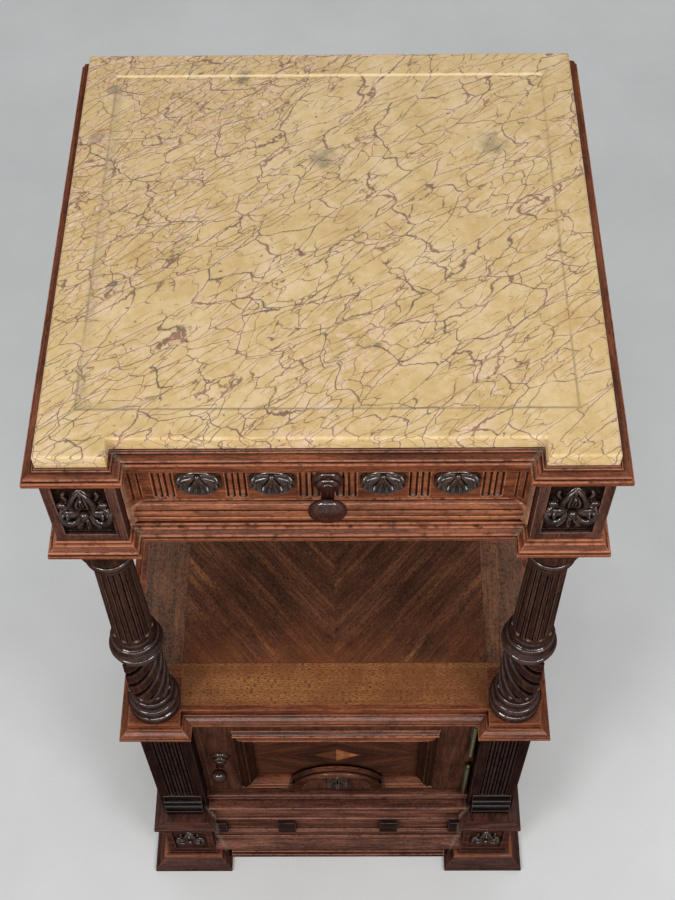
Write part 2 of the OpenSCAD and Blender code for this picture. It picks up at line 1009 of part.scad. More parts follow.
module top_rail() {
    color("#4f281b")
        block([-post_in, door_y, door_top + door_gap], [post_in, door_back, shelf_z]);
}

// Narrow strip that the door shuts against, with the hinge leaves let into the right one
module jamb_strip(side) {
    color("#5a2e1e")
        difference() {
            on_side(side)
                block([post_in - jamb_w, door_y, sill_top], [post_in, door_back, door_top + door_gap]);
            if (side > 0)
                for (z = [hinge_low_z, hinge_high_z])
                    block(
                        [post_in - jamb_w - 1, door_y - 1, z],
                        [post_in - jamb_w + leaf_t, door_y + leaf_d, z + hinge_h / 2 - part_gap / 2]
                    );
        }
}

module jamb_strip_left() {
    jamb_strip(-1);
}

module jamb_strip_right() {
    jamb_strip(1);
}

sill_curve = concat(
    [[1, 0], [1, 1], [3, 1]],
    round_edge([3, 1], [3, bottom_t], 3)
);

module door_sill() {
    color("#5c2a1c")
        run_x(
            lifted(sill_curve, foot_h),
            -post_in, post_in, front + sill_set, door_set + door_t - sill_set
        );
}

// ---- plinth and feet ----

// Curve of the plinth in shares of its step back and of its height
plinth_curve = concat(
    [[0, plinth_lift]],
    sized(
        concat(
            [[0, 0.11], [0.13, 0.11], [0.13, 0.15], [0.2, 0.15]],
            ogee([0.2, 0.18], [0.64, 0.315]),
            [[0.64, 0.34], [0.69, 0.34], [0.69, 0.36], [0.795, 0.36], [0.795, 0.445], [0.9, 0.46], [1, 0.46]],
            [[1, 0.71], [0.9, 0.725], [0.9, 0.765], [1, 0.78], [1, 0.905], [1.08, 0.927]],
            round_edge([1.08, 0.927], [1.08, 1], 0.15)
        ),
        plinth_step,
        foot_h
    )
);

module plinth_front() {
    color("#502519")
        difference() {
            run_x(plinth_curve, -die_in, die_in, plinth_y, plinth_back - plinth_y);
            for (side = [-1, 1])
                on_side(side)
                    block(
                        [axis_x - flare_w / 2 - part_gap, plinth_y - 1, 0],
                        [die_in + 1, plinth_back + 1, flare_h + part_gap]
                    );
        }
}

// Profile of a foot, from the flare at the floor to the cap
foot_curve = concat(
    [[0, 0], [0, 5], [1.4, 5], [1.4, 6.4]],
    ogee([2, 6.4], [flare_out - 2, flare_h - 2]),
    [[flare_out - 2, flare_h], [flare_out, flare_h], [flare_out, foot_cap_z]],
    ogee([flare_out, foot_cap_z], [flare_over + 1.4, foot_cap_z + foot_cap_h * 0.44]),
    [
        [flare_over, foot_cap_z + foot_cap_h * 0.44],
        [flare_over, foot_cap_z + foot_cap_h * 0.81],
        [flare_out + 1, foot_h]
    ]
);

// The part of a moulding's curve over a given height
function above(curve, z) = concat([[curve[0].x, z]], [for (p = curve) if (p.y > z) p]);

module foot_run(curve, x, y0, y1, depth) {
    moulding(curve, [[x, y0], [x, y1]], [[x - depth, y0], [x - depth, y1]], depth);
}

module plinth_side() {
    set_in = 2;
    color("#502519")
        foot_run(
            above(foot_curve, plinth_lift),
            axis_x + flare_w / 2 - set_in, axis_y + die_half, rear_foot_y, flare_out + side_t
        );
}

module plinth_side_left() {
    on_side(-1)
        plinth_side();
}

module plinth_side_right() {
    on_side(1)
        plinth_side();
}

module plinth_back_board() {
    color("#4a2418")
        block(
            [-die_in, case_back - side_t, plinth_lift],
            [die_in, case_back, foot_h]
        );
}

// Dark stepped blocks that hang on the plinth's frieze: each is its place and its width
module plinth_blocks() {
    frieze = plinth_y + plinth_step;
    top = foot_h * 0.71;
    foot = top - plinth_block_h * 0.72;
    step_in = plinth_block_w * 0.07;
    step_up = plinth_block_h * 0.16;
    end_gap = 3.2;
    end_x = die_in - end_block_w / 2 - end_gap;
    color("#1d1413")
        for (side = [-1, 1])
            for (place = [[die_in * 0.406, plinth_block_w], [end_x, end_block_w]])
                for (step = [0:2])
                    on_side(side)
                        translate([place.x, frieze, 0])
                            block(
                                [step * step_in - place.y / 2, (step - 4) * step_in, foot + step * step_up],
                                [place.y / 2 - step * step_in, 0, top - step * 0.01]
                            );
}

module front_foot() {
    x0 = axis_x - flare_w / 2;
    x1 = axis_x + flare_w / 2;
    y0 = axis_y - flare_w / 2;
    y1 = axis_y + die_half;
    depth = foot_ring_d;
    base = [[x0, y1], [x0, y0], [x1, y0], [x1, y1]];
    inner = [[x0 + depth, y1], [x0 + depth, y0 + depth], [x1 - depth, y0 + depth], [x1 - depth, y1]];
    color("#54291b")
        difference() {
            union() {
                moulding(foot_curve, base, inner, depth);
                block([x0 + depth - 1, y0 + depth - 1, 0], [x1 - depth + 1, y1, foot_h]);
            }
            block([x0 - 1, plinth_y + plinth_step - 2, -1], [die_in, y1 + 1, foot_h + 1]);
            block(
                [die_in + foot_margin, foot_front - 1, flare_h + foot_margin],
                [axis_x + die_half - foot_margin, foot_front + foot_sink, foot_cap_z - foot_margin * 2]
            );
        }
}

module front_foot_left() {
    on_side(-1)
        front_foot();
}

module front_foot_right() {
    on_side(1)
        front_foot();
}

module foot_rosettes() {
    color("#1d1413")
        for (side = [-1, 1])
            facing(side * axis_x, foot_front + foot_sink, (flare_h + foot_cap_z - foot_margin) / 2)
                boss(rosette_r * 0.9, relief + foot_sink - 1, 6, relief * 0.57);
}

module rear_foot() {
    color("#54291b")
        union() {
            foot_run(foot_curve, axis_x + flare_w / 2, rear_foot_y, rear_foot_back, foot_ring_d);
            block(
                [axis_x - die_half, rear_foot_y, 0],
                [axis_x + flare_w / 2 - foot_ring_d + 1, rear_foot_back, foot_h]
            );
        }
}

module rear_foot_left() {
    on_side(-1)
        rear_foot();
}

module rear_foot_right() {
    on_side(1)
        rear_foot();
}

// ---- door ----

module door_frame() {
    open_half = mould_half - frame_lap;
    color("#5a2d1d")
        difference() {
            block([-door_half, door_y, door_z], [door_half, door_back, door_top]);
            block(
                [-open_half, door_y - 1, mould_z + frame_lap],
                [open_half, door_back + 1, mould_z + panel_h - frame_lap]
            );
            facing(knob_x, door_back + 1, latch_z)
                cylinder(r = spindle_r + fit_play, h = door_t + 2);
            for (z = [hinge_low_z, hinge_high_z])
                block(
                    [door_half - leaf_t, door_y - 1, z + hinge_h / 2 + part_gap / 2],
                    [door_half + 1, door_y + leaf_d, z + hinge_h]
                );
        }
}

module door_panel() {
    half = mould_half - frame_lap;
    color("#6e3c22")
        block(
            [-half, door_y + panel_sink, mould_z + frame_lap],
            [half, door_y + panel_sink + panel_t, mould_z + panel_h - frame_lap]
        );
}

// Section of the panel moulding across its width, rising from the door's face
function panel_curve(w) = concat(
    round_edge([0, 0], [w * 0.2, panel_mould_out * 0.72], 0.8, 6),
    [[w * 0.24, panel_mould_out * 0.72]],
    [
        for (i = [0:8])
            [w * (0.3 + 0.2 * (1 - cos(22.5 * i)) / 2), panel_mould_out * (0.82 + 0.18 * sin(22.5 * i))]
    ],
    [for (p = ogee([panel_mould_out * 0.8, w * 0.55], [panel_mould_out * 0.2, w * 0.94], 6)) [p.y, p.x]],
    [[w, panel_mould_out * 0.16]]
);

// The same moulding as a full section, closed on the door's face
function panel_section(w) = concat(panel_curve(w), [[w, 0]]);

module panel_run(a, b, length, corners) {
    intersection() {
        translate([a.x, a.y, 0])
            rotate([0, 0, atan2(b.y - a.y, b.x - a.x) + 90])
                rotate([90, 0, 0])
                    translate([0, 0, -1])
                        linear_extrude(length + 2)
                            polygon(panel_section(panel_mould_w));
        translate([0, 0, -1])
            linear_extrude(panel_mould_out + 2)
                polygon(corners);
    }
}

module panel_moulding() {
    x = mould_half;
    z0 = mould_z;
    z1 = mould_z + panel_h;
    base = rect_plan(x, z0, z1, -1);
    line = rect_plan(x, z0, z1, 0);
    inner = rect_plan(x, z0, z1, panel_mould_w);
    lip = panel_mould_w - frame_lap;
    color("#65301f")
        translate([0, door_y, 0])
            rotate([90, 0, 0]) {
                difference() {
                    union() {
                        for (i = [0:3])
                            panel_run(
                                line[i], line[i + 1], norm(line[i + 1] - line[i]),
                                [base[i], base[i + 1], inner[i + 1], inner[i]]
                            );
                        difference() {
                            block(
                                [-x + frame_lap, z0 + frame_lap, -panel_sink],
                                [x - frame_lap, z1 - frame_lap, 0]
                            );
                            block(
                                [-x + frame_lap + lip, z0 + frame_lap + lip, -panel_sink - 1],
                                [x - frame_lap - lip, z1 - frame_lap - lip, 1]
                            );
                        }
                    }
                    translate([0, arch_z, 0])
                        cylinder(r = arch_r - 1, h = panel_mould_out + 1);
                }
                intersection() {
                    translate([0, arch_z, 0])
                        rotate_extrude($fn = 96)
                            polygon([for (p = panel_section(arch_w)) [arch_r - arch_w + p.x, p.y]]);
                    block([-arch_r - 1, z0, -1], [arch_r + 1, z0 + arch_r + 1, panel_mould_out + 1]);
                }
            }
}

module door_shell() {
    shell_r = (arch_r - arch_w) * 0.51;
    color("#1d1413")
        intersection() {
            facing(0, door_y, mould_z + shell_r * 0.37)
                boss(shell_r, panel_mould_out, 9, panel_mould_out / 2);
            block([-shell_r, door_y - panel_mould_out, mould_z], [shell_r, door_y, mould_z + 2 * shell_r]);
        }
}

// ---- hinges, latch ----

// One knuckle of a hinge, bored for the pin, with its leaf let into the wood behind it
module knuckle(z0, z1, leaf_x0, leaf_x1) {
    difference() {
        union() {
            translate([hinge_x, hinge_y, z0])
                cylinder(r = barrel_r, h = z1 - z0);
            block([leaf_x0, hinge_y, z0], [leaf_x1, door_y + leaf_d, z1]);
        }
        translate([hinge_x, hinge_y, z0 - 1])
            cylinder(r = pin_r + fit_play, h = z1 - z0 + 2);
    }
}

module hinge_frame_leaves() {
    leaf_x = post_in - jamb_w;
    color("#9c8a4c")
        for (z = [hinge_low_z, hinge_high_z])
            knuckle(z, z + hinge_h / 2 - part_gap / 2, leaf_x, leaf_x + leaf_t);
}

module hinge_door_leaves() {
    color("#9c8a4c")
        for (z = [hinge_low_z, hinge_high_z])
            knuckle(z + hinge_h / 2 + part_gap / 2, z + hinge_h, door_half - leaf_t, door_half);
}

// Pins with a ball finial at each end; they stay in the frame's knuckles
module hinge_pins() {
    ball_r = barrel_r - 0.15;
    reach = ball_r + part_gap;
    color("#9c8a4c")
        for (z = [hinge_low_z, hinge_high_z])
            translate([hinge_x, hinge_y, z]) {
                translate([0, 0, -reach])
                    cylinder(r = pin_r, h = hinge_h + 2 * reach);
                for (end = [-reach, hinge_h + reach])
                    translate([0, 0, end])
                        sphere(ball_r);
            }
}

// Turned knob on a spindle, with the tongue that turns behind the jamb strip
module latch_knob() {
    tongue_y = door_t + 2 * part_gap + 1;
    color("#7a3a20")
        union() {
            facing(knob_x, door_y - part_gap, latch_z)
                turned_knob(door_knob_r, door_knob_out, door_knob_r * 1.14, door_knob_r * 0.5, tongue_y);
            block(
                [knob_x - tongue_w / 2, door_back + part_gap, latch_z - tongue_w / 2],
                [knob_x + tongue_w / 2, door_back + part_gap + tongue_t, latch_z + tongue_l]
            );
        }
}

marble_top();
cornice();
corner_block_left();
corner_block_right();
palmettes();
side_apron_left();
side_apron_right();
back_apron();
case_moulding();
drawer_runner_left();
drawer_runner_right();
drawer_guides();
drawer_kickers();
dust_board();
column_left();
column_right();
rear_post_left();
rear_post_right();
niche_back();
shelf_frame();
shelf_board();
front_post_left();
front_post_right();
post_base_left();
post_base_right();
side_frame_left();
side_frame_right();
side_panel_left();
side_panel_right();
cupboard_back();
cupboard_bottom();
top_rail();
jamb_strip_left();
jamb_strip_right();
door_sill();
plinth_front();
plinth_side_left();
plinth_side_right();
plinth_back_board();
plinth_blocks();
front_foot_left();
front_foot_right();
foot_rosettes();
rear_foot_left();
rear_foot_right();
hinge_frame_leaves();
hinge_pins();
drawer_front();
drawer_side_left();
drawer_side_right();
drawer_back();
drawer_bottom();
drawer_rosettes();
drawer_knob();
door_frame();
door_panel();
panel_moulding();
door_shell();
hinge_door_leaves();
latch_knob();
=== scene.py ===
"""Looks for a bedside pot cupboard: marble top, carved walnut case, turned columns.

Metres, with X to the right, Y to the back and Z up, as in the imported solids.
"""
import json
import math

import bmesh
import bpy
from mathutils import Matrix, Vector


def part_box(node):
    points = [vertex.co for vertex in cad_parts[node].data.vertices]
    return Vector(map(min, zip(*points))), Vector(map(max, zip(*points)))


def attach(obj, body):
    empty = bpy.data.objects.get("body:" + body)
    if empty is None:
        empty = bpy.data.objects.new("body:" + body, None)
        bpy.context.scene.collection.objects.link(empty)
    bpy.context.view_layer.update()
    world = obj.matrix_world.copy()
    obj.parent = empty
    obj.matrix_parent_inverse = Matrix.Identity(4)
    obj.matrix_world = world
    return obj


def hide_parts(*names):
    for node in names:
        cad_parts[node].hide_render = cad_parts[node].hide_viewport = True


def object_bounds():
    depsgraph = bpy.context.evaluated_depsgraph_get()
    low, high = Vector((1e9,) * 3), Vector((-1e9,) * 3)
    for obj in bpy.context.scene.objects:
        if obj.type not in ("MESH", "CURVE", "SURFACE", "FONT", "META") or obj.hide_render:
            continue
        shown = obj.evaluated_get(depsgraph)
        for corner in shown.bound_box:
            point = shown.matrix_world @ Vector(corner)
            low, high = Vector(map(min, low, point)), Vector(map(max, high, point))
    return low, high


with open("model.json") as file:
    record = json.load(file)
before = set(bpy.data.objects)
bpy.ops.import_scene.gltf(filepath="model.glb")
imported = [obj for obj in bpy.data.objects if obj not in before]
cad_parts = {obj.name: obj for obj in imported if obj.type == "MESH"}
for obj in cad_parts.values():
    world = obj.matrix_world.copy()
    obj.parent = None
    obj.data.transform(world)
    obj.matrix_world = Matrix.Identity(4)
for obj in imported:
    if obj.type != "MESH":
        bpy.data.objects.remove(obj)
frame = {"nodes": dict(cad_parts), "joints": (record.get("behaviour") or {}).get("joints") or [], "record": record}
cad_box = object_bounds()
MM = 0.001
SIDES = {"left": -1, "right": 1}

BODY_OF = {
    node: body
    for body, nodes in frame["record"]["behaviour"]["bodies"].items()
    for node in nodes
}

# ---- places read from the solids ----

CORNICE_LOW, CORNICE_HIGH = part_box("cornice")
FRONT = CORNICE_LOW.y
HALF_WIDTH = CORNICE_HIGH.x
COLUMN_LOW, COLUMN_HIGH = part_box("column_right")
AXIS_X = (COLUMN_LOW.x + COLUMN_HIGH.x) / 2
AXIS_Y = (COLUMN_LOW.y + COLUMN_HIGH.y) / 2
BLOCK_WIDTH = 2 * (HALF_WIDTH - AXIS_X)
INNER_X = HALF_WIDTH - BLOCK_WIDTH
RECESS = 15 * MM
SHELF_TOP = COLUMN_LOW.z
SHELF_LOW, SHELF_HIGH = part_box("shelf_board")
FRONT_BAND_Y = SHELF_LOW.y + 44 * MM
SIDE_BAND_X = SHELF_HIGH.x - 43 * MM

DRAWER_LOW, DRAWER_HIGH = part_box("drawer_front")
ROSETTES_LOW, ROSETTES_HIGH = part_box("drawer_rosettes")
FRIEZE_Y = ROSETTES_HIGH.y
FRIEZE_HALF = 129 * MM
COVE_R = 24 * MM
ROSETTE_R = (ROSETTES_HIGH.z - ROSETTES_LOW.z) / 2
ROSETTE_X = ROSETTES_HIGH.x - ROSETTE_R
ROSETTE_Z = (ROSETTES_HIGH.z + ROSETTES_LOW.z) / 2
FRIEZE_PITCH = ROSETTE_X / 3.5
FLUTE_FOOT_Z = ROSETTE_Z - 22.3 * MM

DOOR_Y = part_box("door_frame")[0].y
PANEL_MIDDLE_Z = sum(corner.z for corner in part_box("door_panel")) / 2
MOULDING_LOW, MOULDING_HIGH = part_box("panel_moulding")
ARCH_MIDDLE_Z = MOULDING_LOW.z - 1 * MM
ARCH_R = 46.2 * MM

MARBLE_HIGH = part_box("marble_top")[1]
FIELD_DEEPEST = 3 * MM
SLOPE_IN = 1.6 * MM


def sunk_field():
    """Half width, middle and half depth of the marble's sunk field"""
    side, front, back = 178 * MM, FRONT + 45 * MM, MARBLE_HIGH.y - 20 * MM
    inner = [
        v.co for v in frame["nodes"]["marble_top"].data.vertices
        if v.co.z > MARBLE_HIGH.z - FIELD_DEEPEST and abs(v.co.x) < side and front < v.co.y < back
    ]
    low, high = min(co.y for co in inner), max(co.y for co in inner)
    return max(co.x for co in inner), (low + high) / 2, (high - low) / 2


FIELD_X, FIELD_Y, FIELD_HALF_Y = sunk_field()


# ---- node trees written as sums ----

class Wire:
    """A node's output, so that the maths of a finish or a form reads as Python."""

    def __init__(self, tree, socket):
        self.tree = tree
        self.socket = socket

    def math(self, operation, *others):
        return self.tree.math(operation, self, *others)

    def __add__(self, other):
        return self.math("ADD", other)

    def __radd__(self, other):
        return self.tree.math("ADD", other, self)

    def __sub__(self, other):
        return self.math("SUBTRACT", other)

    def __rsub__(self, other):
        return self.tree.math("SUBTRACT", other, self)

    def __mul__(self, other):
        return self.math("MULTIPLY", other)

    def __rmul__(self, other):
        return self.tree.math("MULTIPLY", other, self)

    def __truediv__(self, other):
        return self.math("DIVIDE", other)

    def __rtruediv__(self, other):
        return self.tree.math("DIVIDE", other, self)

    def __pow__(self, other):
        return self.math("POWER", other)

    def __rpow__(self, other):
        return self.tree.math("POWER", other, self)

    def __lt__(self, other):
        return self.math("LESS_THAN", other)

    def __gt__(self, other):
        return self.math("GREATER_THAN", other)

    def __abs__(self):
        return self.math("ABSOLUTE")

    def also(self, name):
        """Another output of the same node"""
        return Wire(self.tree, pick(self.socket.node.outputs, name))


def pick(sockets, key):
    if isinstance(key, int):
        return sockets[key]
    return next(s for s in sockets if s.enabled and s.name == key)


class Tree:
    """A node tree under construction."""

    def __init__(self, tree):
        self.tree = tree

    def node(self, kind, settings=None, sockets=None, out=None):
        made = self.tree.nodes.new(kind)
        for name, value in (settings or {}).items():
            if name == "stops":
                lay_stops(made.color_ramp, value)
            else:
                setattr(made, name, value)
        for name, value in (sockets or {}).items():
            socket = pick(made.inputs, name)
            if isinstance(value, Wire):
                self.tree.links.new(value.socket, socket)
            else:
                socket.default_value = value
        if not len(made.outputs):
            return made
        if out is None:
            return Wire(self, next(s for s in made.outputs if s.enabled))
        return Wire(self, pick(made.outputs, out))

    # Shorthands for the nodes that most finishes and forms use

    def math(self, operation, *terms):
        return self.node("ShaderNodeMath", {"operation": operation}, dict(enumerate(terms)))

    def larger(self, first, second):
        return self.math("MAXIMUM", first, second)

    def vector(self, operation, first, second):
        return self.node("ShaderNodeVectorMath", {"operation": operation}, {0: first, 1: second})

    def scaled(self, vector, by):
        return self.vector("MULTIPLY", vector, by)

    def shifted(self, vector, by):
        return self.vector("ADD", vector, by)

    def place(self):
        """The object's own coordinates"""
        return self.node("ShaderNodeTexCoord", out="Object")

    def split(self, vector):
        """X, Y and Z of a vector"""
        x = self.node("ShaderNodeSeparateXYZ", None, {0: vector})
        return x, x.also("Y"), x.also("Z")

    def joined(self, x, y, z):
        return self.node("ShaderNodeCombineXYZ", None, {"X": x, "Y": y, "Z": z})

    def noise(self, vector, scale, detail=2.0, rough=0.5, warp=0.0, out=None):
        return self.node("ShaderNodeTexNoise", None, {
            "Vector": vector, "Scale": scale, "Detail": detail, "Roughness": rough, "Distortion": warp,
        }, out)

    def sway(self, vector, scale, rough, reach):
        """A wavering offset, up to half of reach either way"""
        cloud = self.noise(vector, scale, 2.0, rough, out="Color")
        return self.scaled(self.shifted(cloud, (-0.5, -0.5, -0.5)), (reach, reach, reach))

    def rise(self, value, low, high):
        """0 under low, 1 over high, smooth between; falls where high is less than low"""
        return self.node(
            "ShaderNodeMapRange", {"interpolation_type": "SMOOTHSTEP"},
            {"Value": value, "From Min": low, "From Max": high},
        )

    def tint(self, share, first, second):
        return self.node(
            "ShaderNodeMix", {"data_type": "RGBA", "clamp_factor": True},
            {"Factor": share, "A": first, "B": second},
        )

    def either(self, share, first, second):
        """The first vector, or the second where share is 1"""
        return self.node(
            "ShaderNodeMix", {"data_type": "VECTOR"}, {"Factor": share, "A": first, "B": second},
        )

    def ramp(self, value, *stops):
        return self.node("ShaderNodeValToRGB", {"stops": stops}, {"Fac": value})

    def hollow(self, reach, inside=False):
        """1 deep in a hollow (or on an outer edge with inside), 0 on open surfaces"""
        open_share = self.node(
            "ShaderNodeAmbientOcclusion", {"samples": 6, "inside": inside},
            {"Distance": reach}, "AO",
        )
        return 1.0 - open_share

    def bump(self, height, depth, strength):
        return self.node("ShaderNodeBump", None, {"Height": height, "Distance": depth, "Strength": strength})


def lay_stops(band, stops):
    while len(band.elements) < len(stops):
        band.elements.new(0.5)
    for element, (place, colour) in zip(band.elements, stops):
        element.position = place
        element.color = colour


def rgb(red, green, blue):
    """A colour given as it looks on a screen, 0 to 255"""
    def linear(share):
        share /= 255
        return share / 12.92 if share <= 0.04045 else ((share + 0.055) / 1.055) ** 2.4
    return (linear(red), linear(green), linear(blue), 1.0)


def scaled_colour(colour, share, lift=0.0):
    """A colour with its parts multiplied by share and raised by lift"""
    return tuple(min(1.0, share * part + lift) for part in colour[:3]) + (1.0,)


def finish(name, paint):
    """A material whose surface is what paint(tree) returns as values of the main shader's sockets"""
    material = bpy.data.materials.new(name)
    material.use_nodes = True
    material.node_tree.nodes.clear()
    tree = Tree(material.node_tree)
    surface = tree.node("ShaderNodeBsdfPrincipled", None, paint(tree))
    tree.node("ShaderNodeOutputMaterial", None, {"Surface": surface})
    return material


# ---- wood ----

DUST = rgb(140, 128, 112)


def mitre_dust(tree, at):
    """Pale dust and old wax in the inner mitres, where the front steps back between the blocks"""
    x, y, z = tree.split(at)
    from_inner = abs(x) - INNER_X
    off_line = abs(from_inner - (y - (FRONT + RECESS)))
    off_corner = abs(from_inner - 6 * MM)
    line = tree.rise(off_line, 4.2 * MM, 0.4 * MM) * tree.rise(off_corner, 14 * MM, 7 * MM)
    at_head = tree.rise(z, SHELF_TOP + 190 * MM, SHELF_TOP + 200 * MM)
    at_foot = tree.rise(z, 136 * MM, 128 * MM)
    return line * tree.larger(at_head * 0.8, at_foot)


def polish(tree, amount):
    """Coat weight of a hand polish, full where the surface faces the eye"""
    facing = tree.node("ShaderNodeLayerWeight", None, {"Blend": 0.5}, "Facing")
    return amount * tree.rise(facing, 0.42, 0.14)


def arris_and_quirk(tree):
    """How far a face is an arris or a round, and how far it is a quirk or a hollow"""
    line = tree.node("ShaderNodeAttribute", {"attribute_name": "line"}, out="Fac")
    return tree.rise(line, 0.12, 0.8), tree.rise(line, -0.05, -0.5)


def wood_surface(
    tree, along, tones, gloss, dust=0.5, grime=0.9, wear=0.6, fleck=0.6, coat=0.7, glaze=0.16,
):
    """Polished wood: along holds the place in the board, its X along the grain"""
    dark, middle, light = tones
    black, pale = scaled_colour(dark, 0.12), scaled_colour(light, 1.35, 0.05)
    at = tree.place()
    figure = tree.noise(tree.scaled(along, (9.0, 90.0, 90.0)), 1.0, 4.0, 0.65, 0.8)
    streaks = tree.noise(tree.scaled(along, (26.0, 560.0, 560.0)), 1.0, 3.0, 0.65)
    pores = tree.noise(tree.scaled(along, (260.0, 1150.0, 1150.0)), 1.0, 2.0, 0.6)
    cloud = tree.noise(at, 30.0, 3.0, 0.6)
    specks = tree.noise(at, 800.0, 2.0, 0.6)
    colour = tree.ramp(figure * 0.6 + streaks * 0.4, (0.30, dark), (0.49, middle), (0.70, light))
    colour = tree.tint(tree.rise(pores, 0.52, 0.66) * fleck, colour, dark)
    colour = tree.tint(tree.rise(pores, 0.44, 0.32) * fleck * 0.4, colour, light)
    colour = tree.tint(tree.rise(cloud, 0.42, 0.72) * 0.4, colour, dark)
    # Deep hollows (14 mm reach) and creases (2.4 mm reach) are darkened towards near black: partly dirt, partly
    # painted shade, which also darkens broad faces under overhangs.
    deep = tree.rise(tree.hollow(14 * MM), 0.15, 0.85) * 0.85
    crease = tree.rise(tree.hollow(2.4 * MM), 0.3, 0.75)
    colour = tree.tint(tree.larger(deep, crease) * grime, colour, black)
    arris, quirk = arris_and_quirk(tree)
    # Quirks and hollows of the profiles are darkened towards near black: painted shade.
    colour = tree.tint(quirk * 0.85, colour, black)
    # Outer edges and arrises are lightened towards a pale tone: partly rubbing through the polish, partly painted
    # highlight.
    edge = tree.rise(tree.hollow(1.8 * MM, inside=True), 0.2, 0.6)
    rubbed_and_highlit = tree.larger(edge * 0.6, arris) * tree.rise(tree.noise(at, 160.0, 3.0, 0.65), 0.3, 0.56)
    colour = tree.tint(rubbed_and_highlit * wear, colour, pale)
    settled_dust = mitre_dust(tree, at) * tree.rise(specks, 0.34, 0.56) + tree.rise(specks, 0.67, 0.75) * 0.2
    height = tree.rise(pores, 0.66, 0.5) * 0.5 + streaks * 0.3 + specks * 0.5
    return {
        "Base Color": tree.tint(settled_dust * dust, colour, DUST),
        "Roughness": gloss + (streaks - 0.5) * 0.3 + cloud * 0.12 + settled_dust * 0.4,
        "Normal": tree.bump(height, 0.09 * MM, 0.8),
        "Specular IOR Level": 0.0,
        "Coat Weight": polish(tree, coat) * (0.35 + tree.rise(specks, 0.36, 0.58) * 0.65),
        "Coat Roughness": glaze,
        "Coat IOR": 1.75 if glaze < 0.12 else 1.5,
    }


def laid_grain(tree):
    return tree.node("ShaderNodeAttribute", {"attribute_name": "grain"}, out="Vector")


def board_grain(axis):
    """Place in a plain board whose grain runs along the given axis of the object"""
    order = {"X": (0, 1, 2), "Y": (1, 0, 2), "Z": (2, 0, 1)}[axis]

    def along(tree):
        place = tree.split(tree.place())
        return tree.joined(*(place[k] for k in order))
    return along


WALNUT_TONES = (rgb(48, 25, 19), rgb(110, 61, 41), rgb(166, 100, 64))
CASE_TONES = (rgb(32, 19, 16), rgb(76, 47, 36), rgb(110, 70, 50))
COLUMN_TONES = (rgb(24, 14, 12), rgb(54, 34, 28), rgb(80, 52, 40))
POST_TONES = (rgb(18, 11, 10), rgb(38, 23, 20), rgb(58, 36, 28))
VENEER_TONES = (rgb(36, 22, 18), rgb(92, 58, 43), rgb(148, 97, 63))
INNER_TONES = (rgb(110, 80, 50), rgb(156, 120, 80), rgb(186, 150, 106))
BACK_TONES = (rgb(70, 46, 32), rgb(104, 72, 48), rgb(130, 94, 64))
BLOCK_TONES = (rgb(36, 22, 19), rgb(77, 50, 42), rgb(112, 75, 60))
# The feet's tones are set dark partly as their own colour and partly as painted shade, for the light that falls
# off towards the floor.
FOOT_TONES = (rgb(26, 15, 13), rgb(66, 39, 33), rgb(110, 68, 54))
PLINTH_TONES = (rgb(36, 20, 17), rgb(90, 55, 44), rgb(152, 100, 78))
STEPPED_BLOCK_TONES = (rgb(22, 15, 13), rgb(46, 31, 27), rgb(76, 54, 44))
KNOB_TONES = (rgb(26, 14, 12), rgb(58, 33, 27), rgb(98, 58, 44))
DUSTY_TONES = (rgb(52, 38, 32), rgb(84, 66, 56), rgb(112, 92, 80))
DOOR_VENEER_TONES = (rgb(34, 19, 15), rgb(68, 40, 29), rgb(104, 62, 40))


def walnut(name, tones=WALNUT_TONES, gloss=0.34, grain=laid_grain, **habits):
    return finish(name, lambda tree: wood_surface(tree, grain(tree), tones, gloss, **habits))


def drawer_walnut(tree):
    """The frieze is plain walnut; the rounds along its foot get a lighter copy of its colour, a painted highlight
    """
    surface = wood_surface(tree, laid_grain(tree), WALNUT_TONES, 0.3, coat=0.9)
    _, _, z = tree.split(tree.place())
    foot = tree.rise(z, FLUTE_FOOT_Z - 4.5 * MM, FLUTE_FOOT_Z - 5.5 * MM)
    # A lighter copy of the walnut's colour for the rounds at the foot: painted highlight.
    lit = tree.scaled(surface["Base Color"], (1.4, 1.46, 1.42))
    surface["Base Color"] = tree.tint(foot, surface["Base Color"], lit)
    return surface


def door_moulding(tree):
    """The moulding's upright runs and its arch are nearly black, its level runs brown; the arch is darker at its
    sides than at its crown, as painted shade
    """
    surface = wood_surface(tree, laid_grain(tree), WALNUT_TONES, 0.3, coat=0.9)
    x, _, z = tree.split(tree.place())
    from_side = MOULDING_HIGH.x - abs(x)
    from_end = (z - MOULDING_LOW.z).math("MINIMUM", MOULDING_HIGH.z - z)
    upright = tree.rise(from_side - from_end, 0.3 * MM, -0.3 * MM) * tree.rise(from_side, 22 * MM, 21 * MM)
    colour = tree.tint(upright * 0.88, surface["Base Color"], rgb(24, 14, 12))
    off_middle = (x ** 2.0 + (z - ARCH_MIDDLE_Z) ** 2.0) ** 0.5
    on_arch = tree.rise(abs(off_middle - ARCH_R), 10.5 * MM, 9.5 * MM)
    on_arch = on_arch * tree.rise(z, MOULDING_LOW.z + 62 * MM, MOULDING_LOW.z + 61 * MM)
    # The arch is darkened more at its sides than at its crown: painted shade on its sides and a painted highlight
    # on its crown.
    on_arch = on_arch * (0.42 + tree.rise(abs(x), 14 * MM, 44 * MM) * 0.4)
    colour = tree.tint(on_arch, colour, rgb(26, 15, 12))
    low_run = tree.rise(z, MOULDING_LOW.z + 22 * MM, MOULDING_LOW.z + 19 * MM) * tree.rise(on_arch, 0.3, 0.1)
    surface["Base Color"] = tree.tint(low_run * 0.34, colour, rgb(26, 15, 12))
    return surface


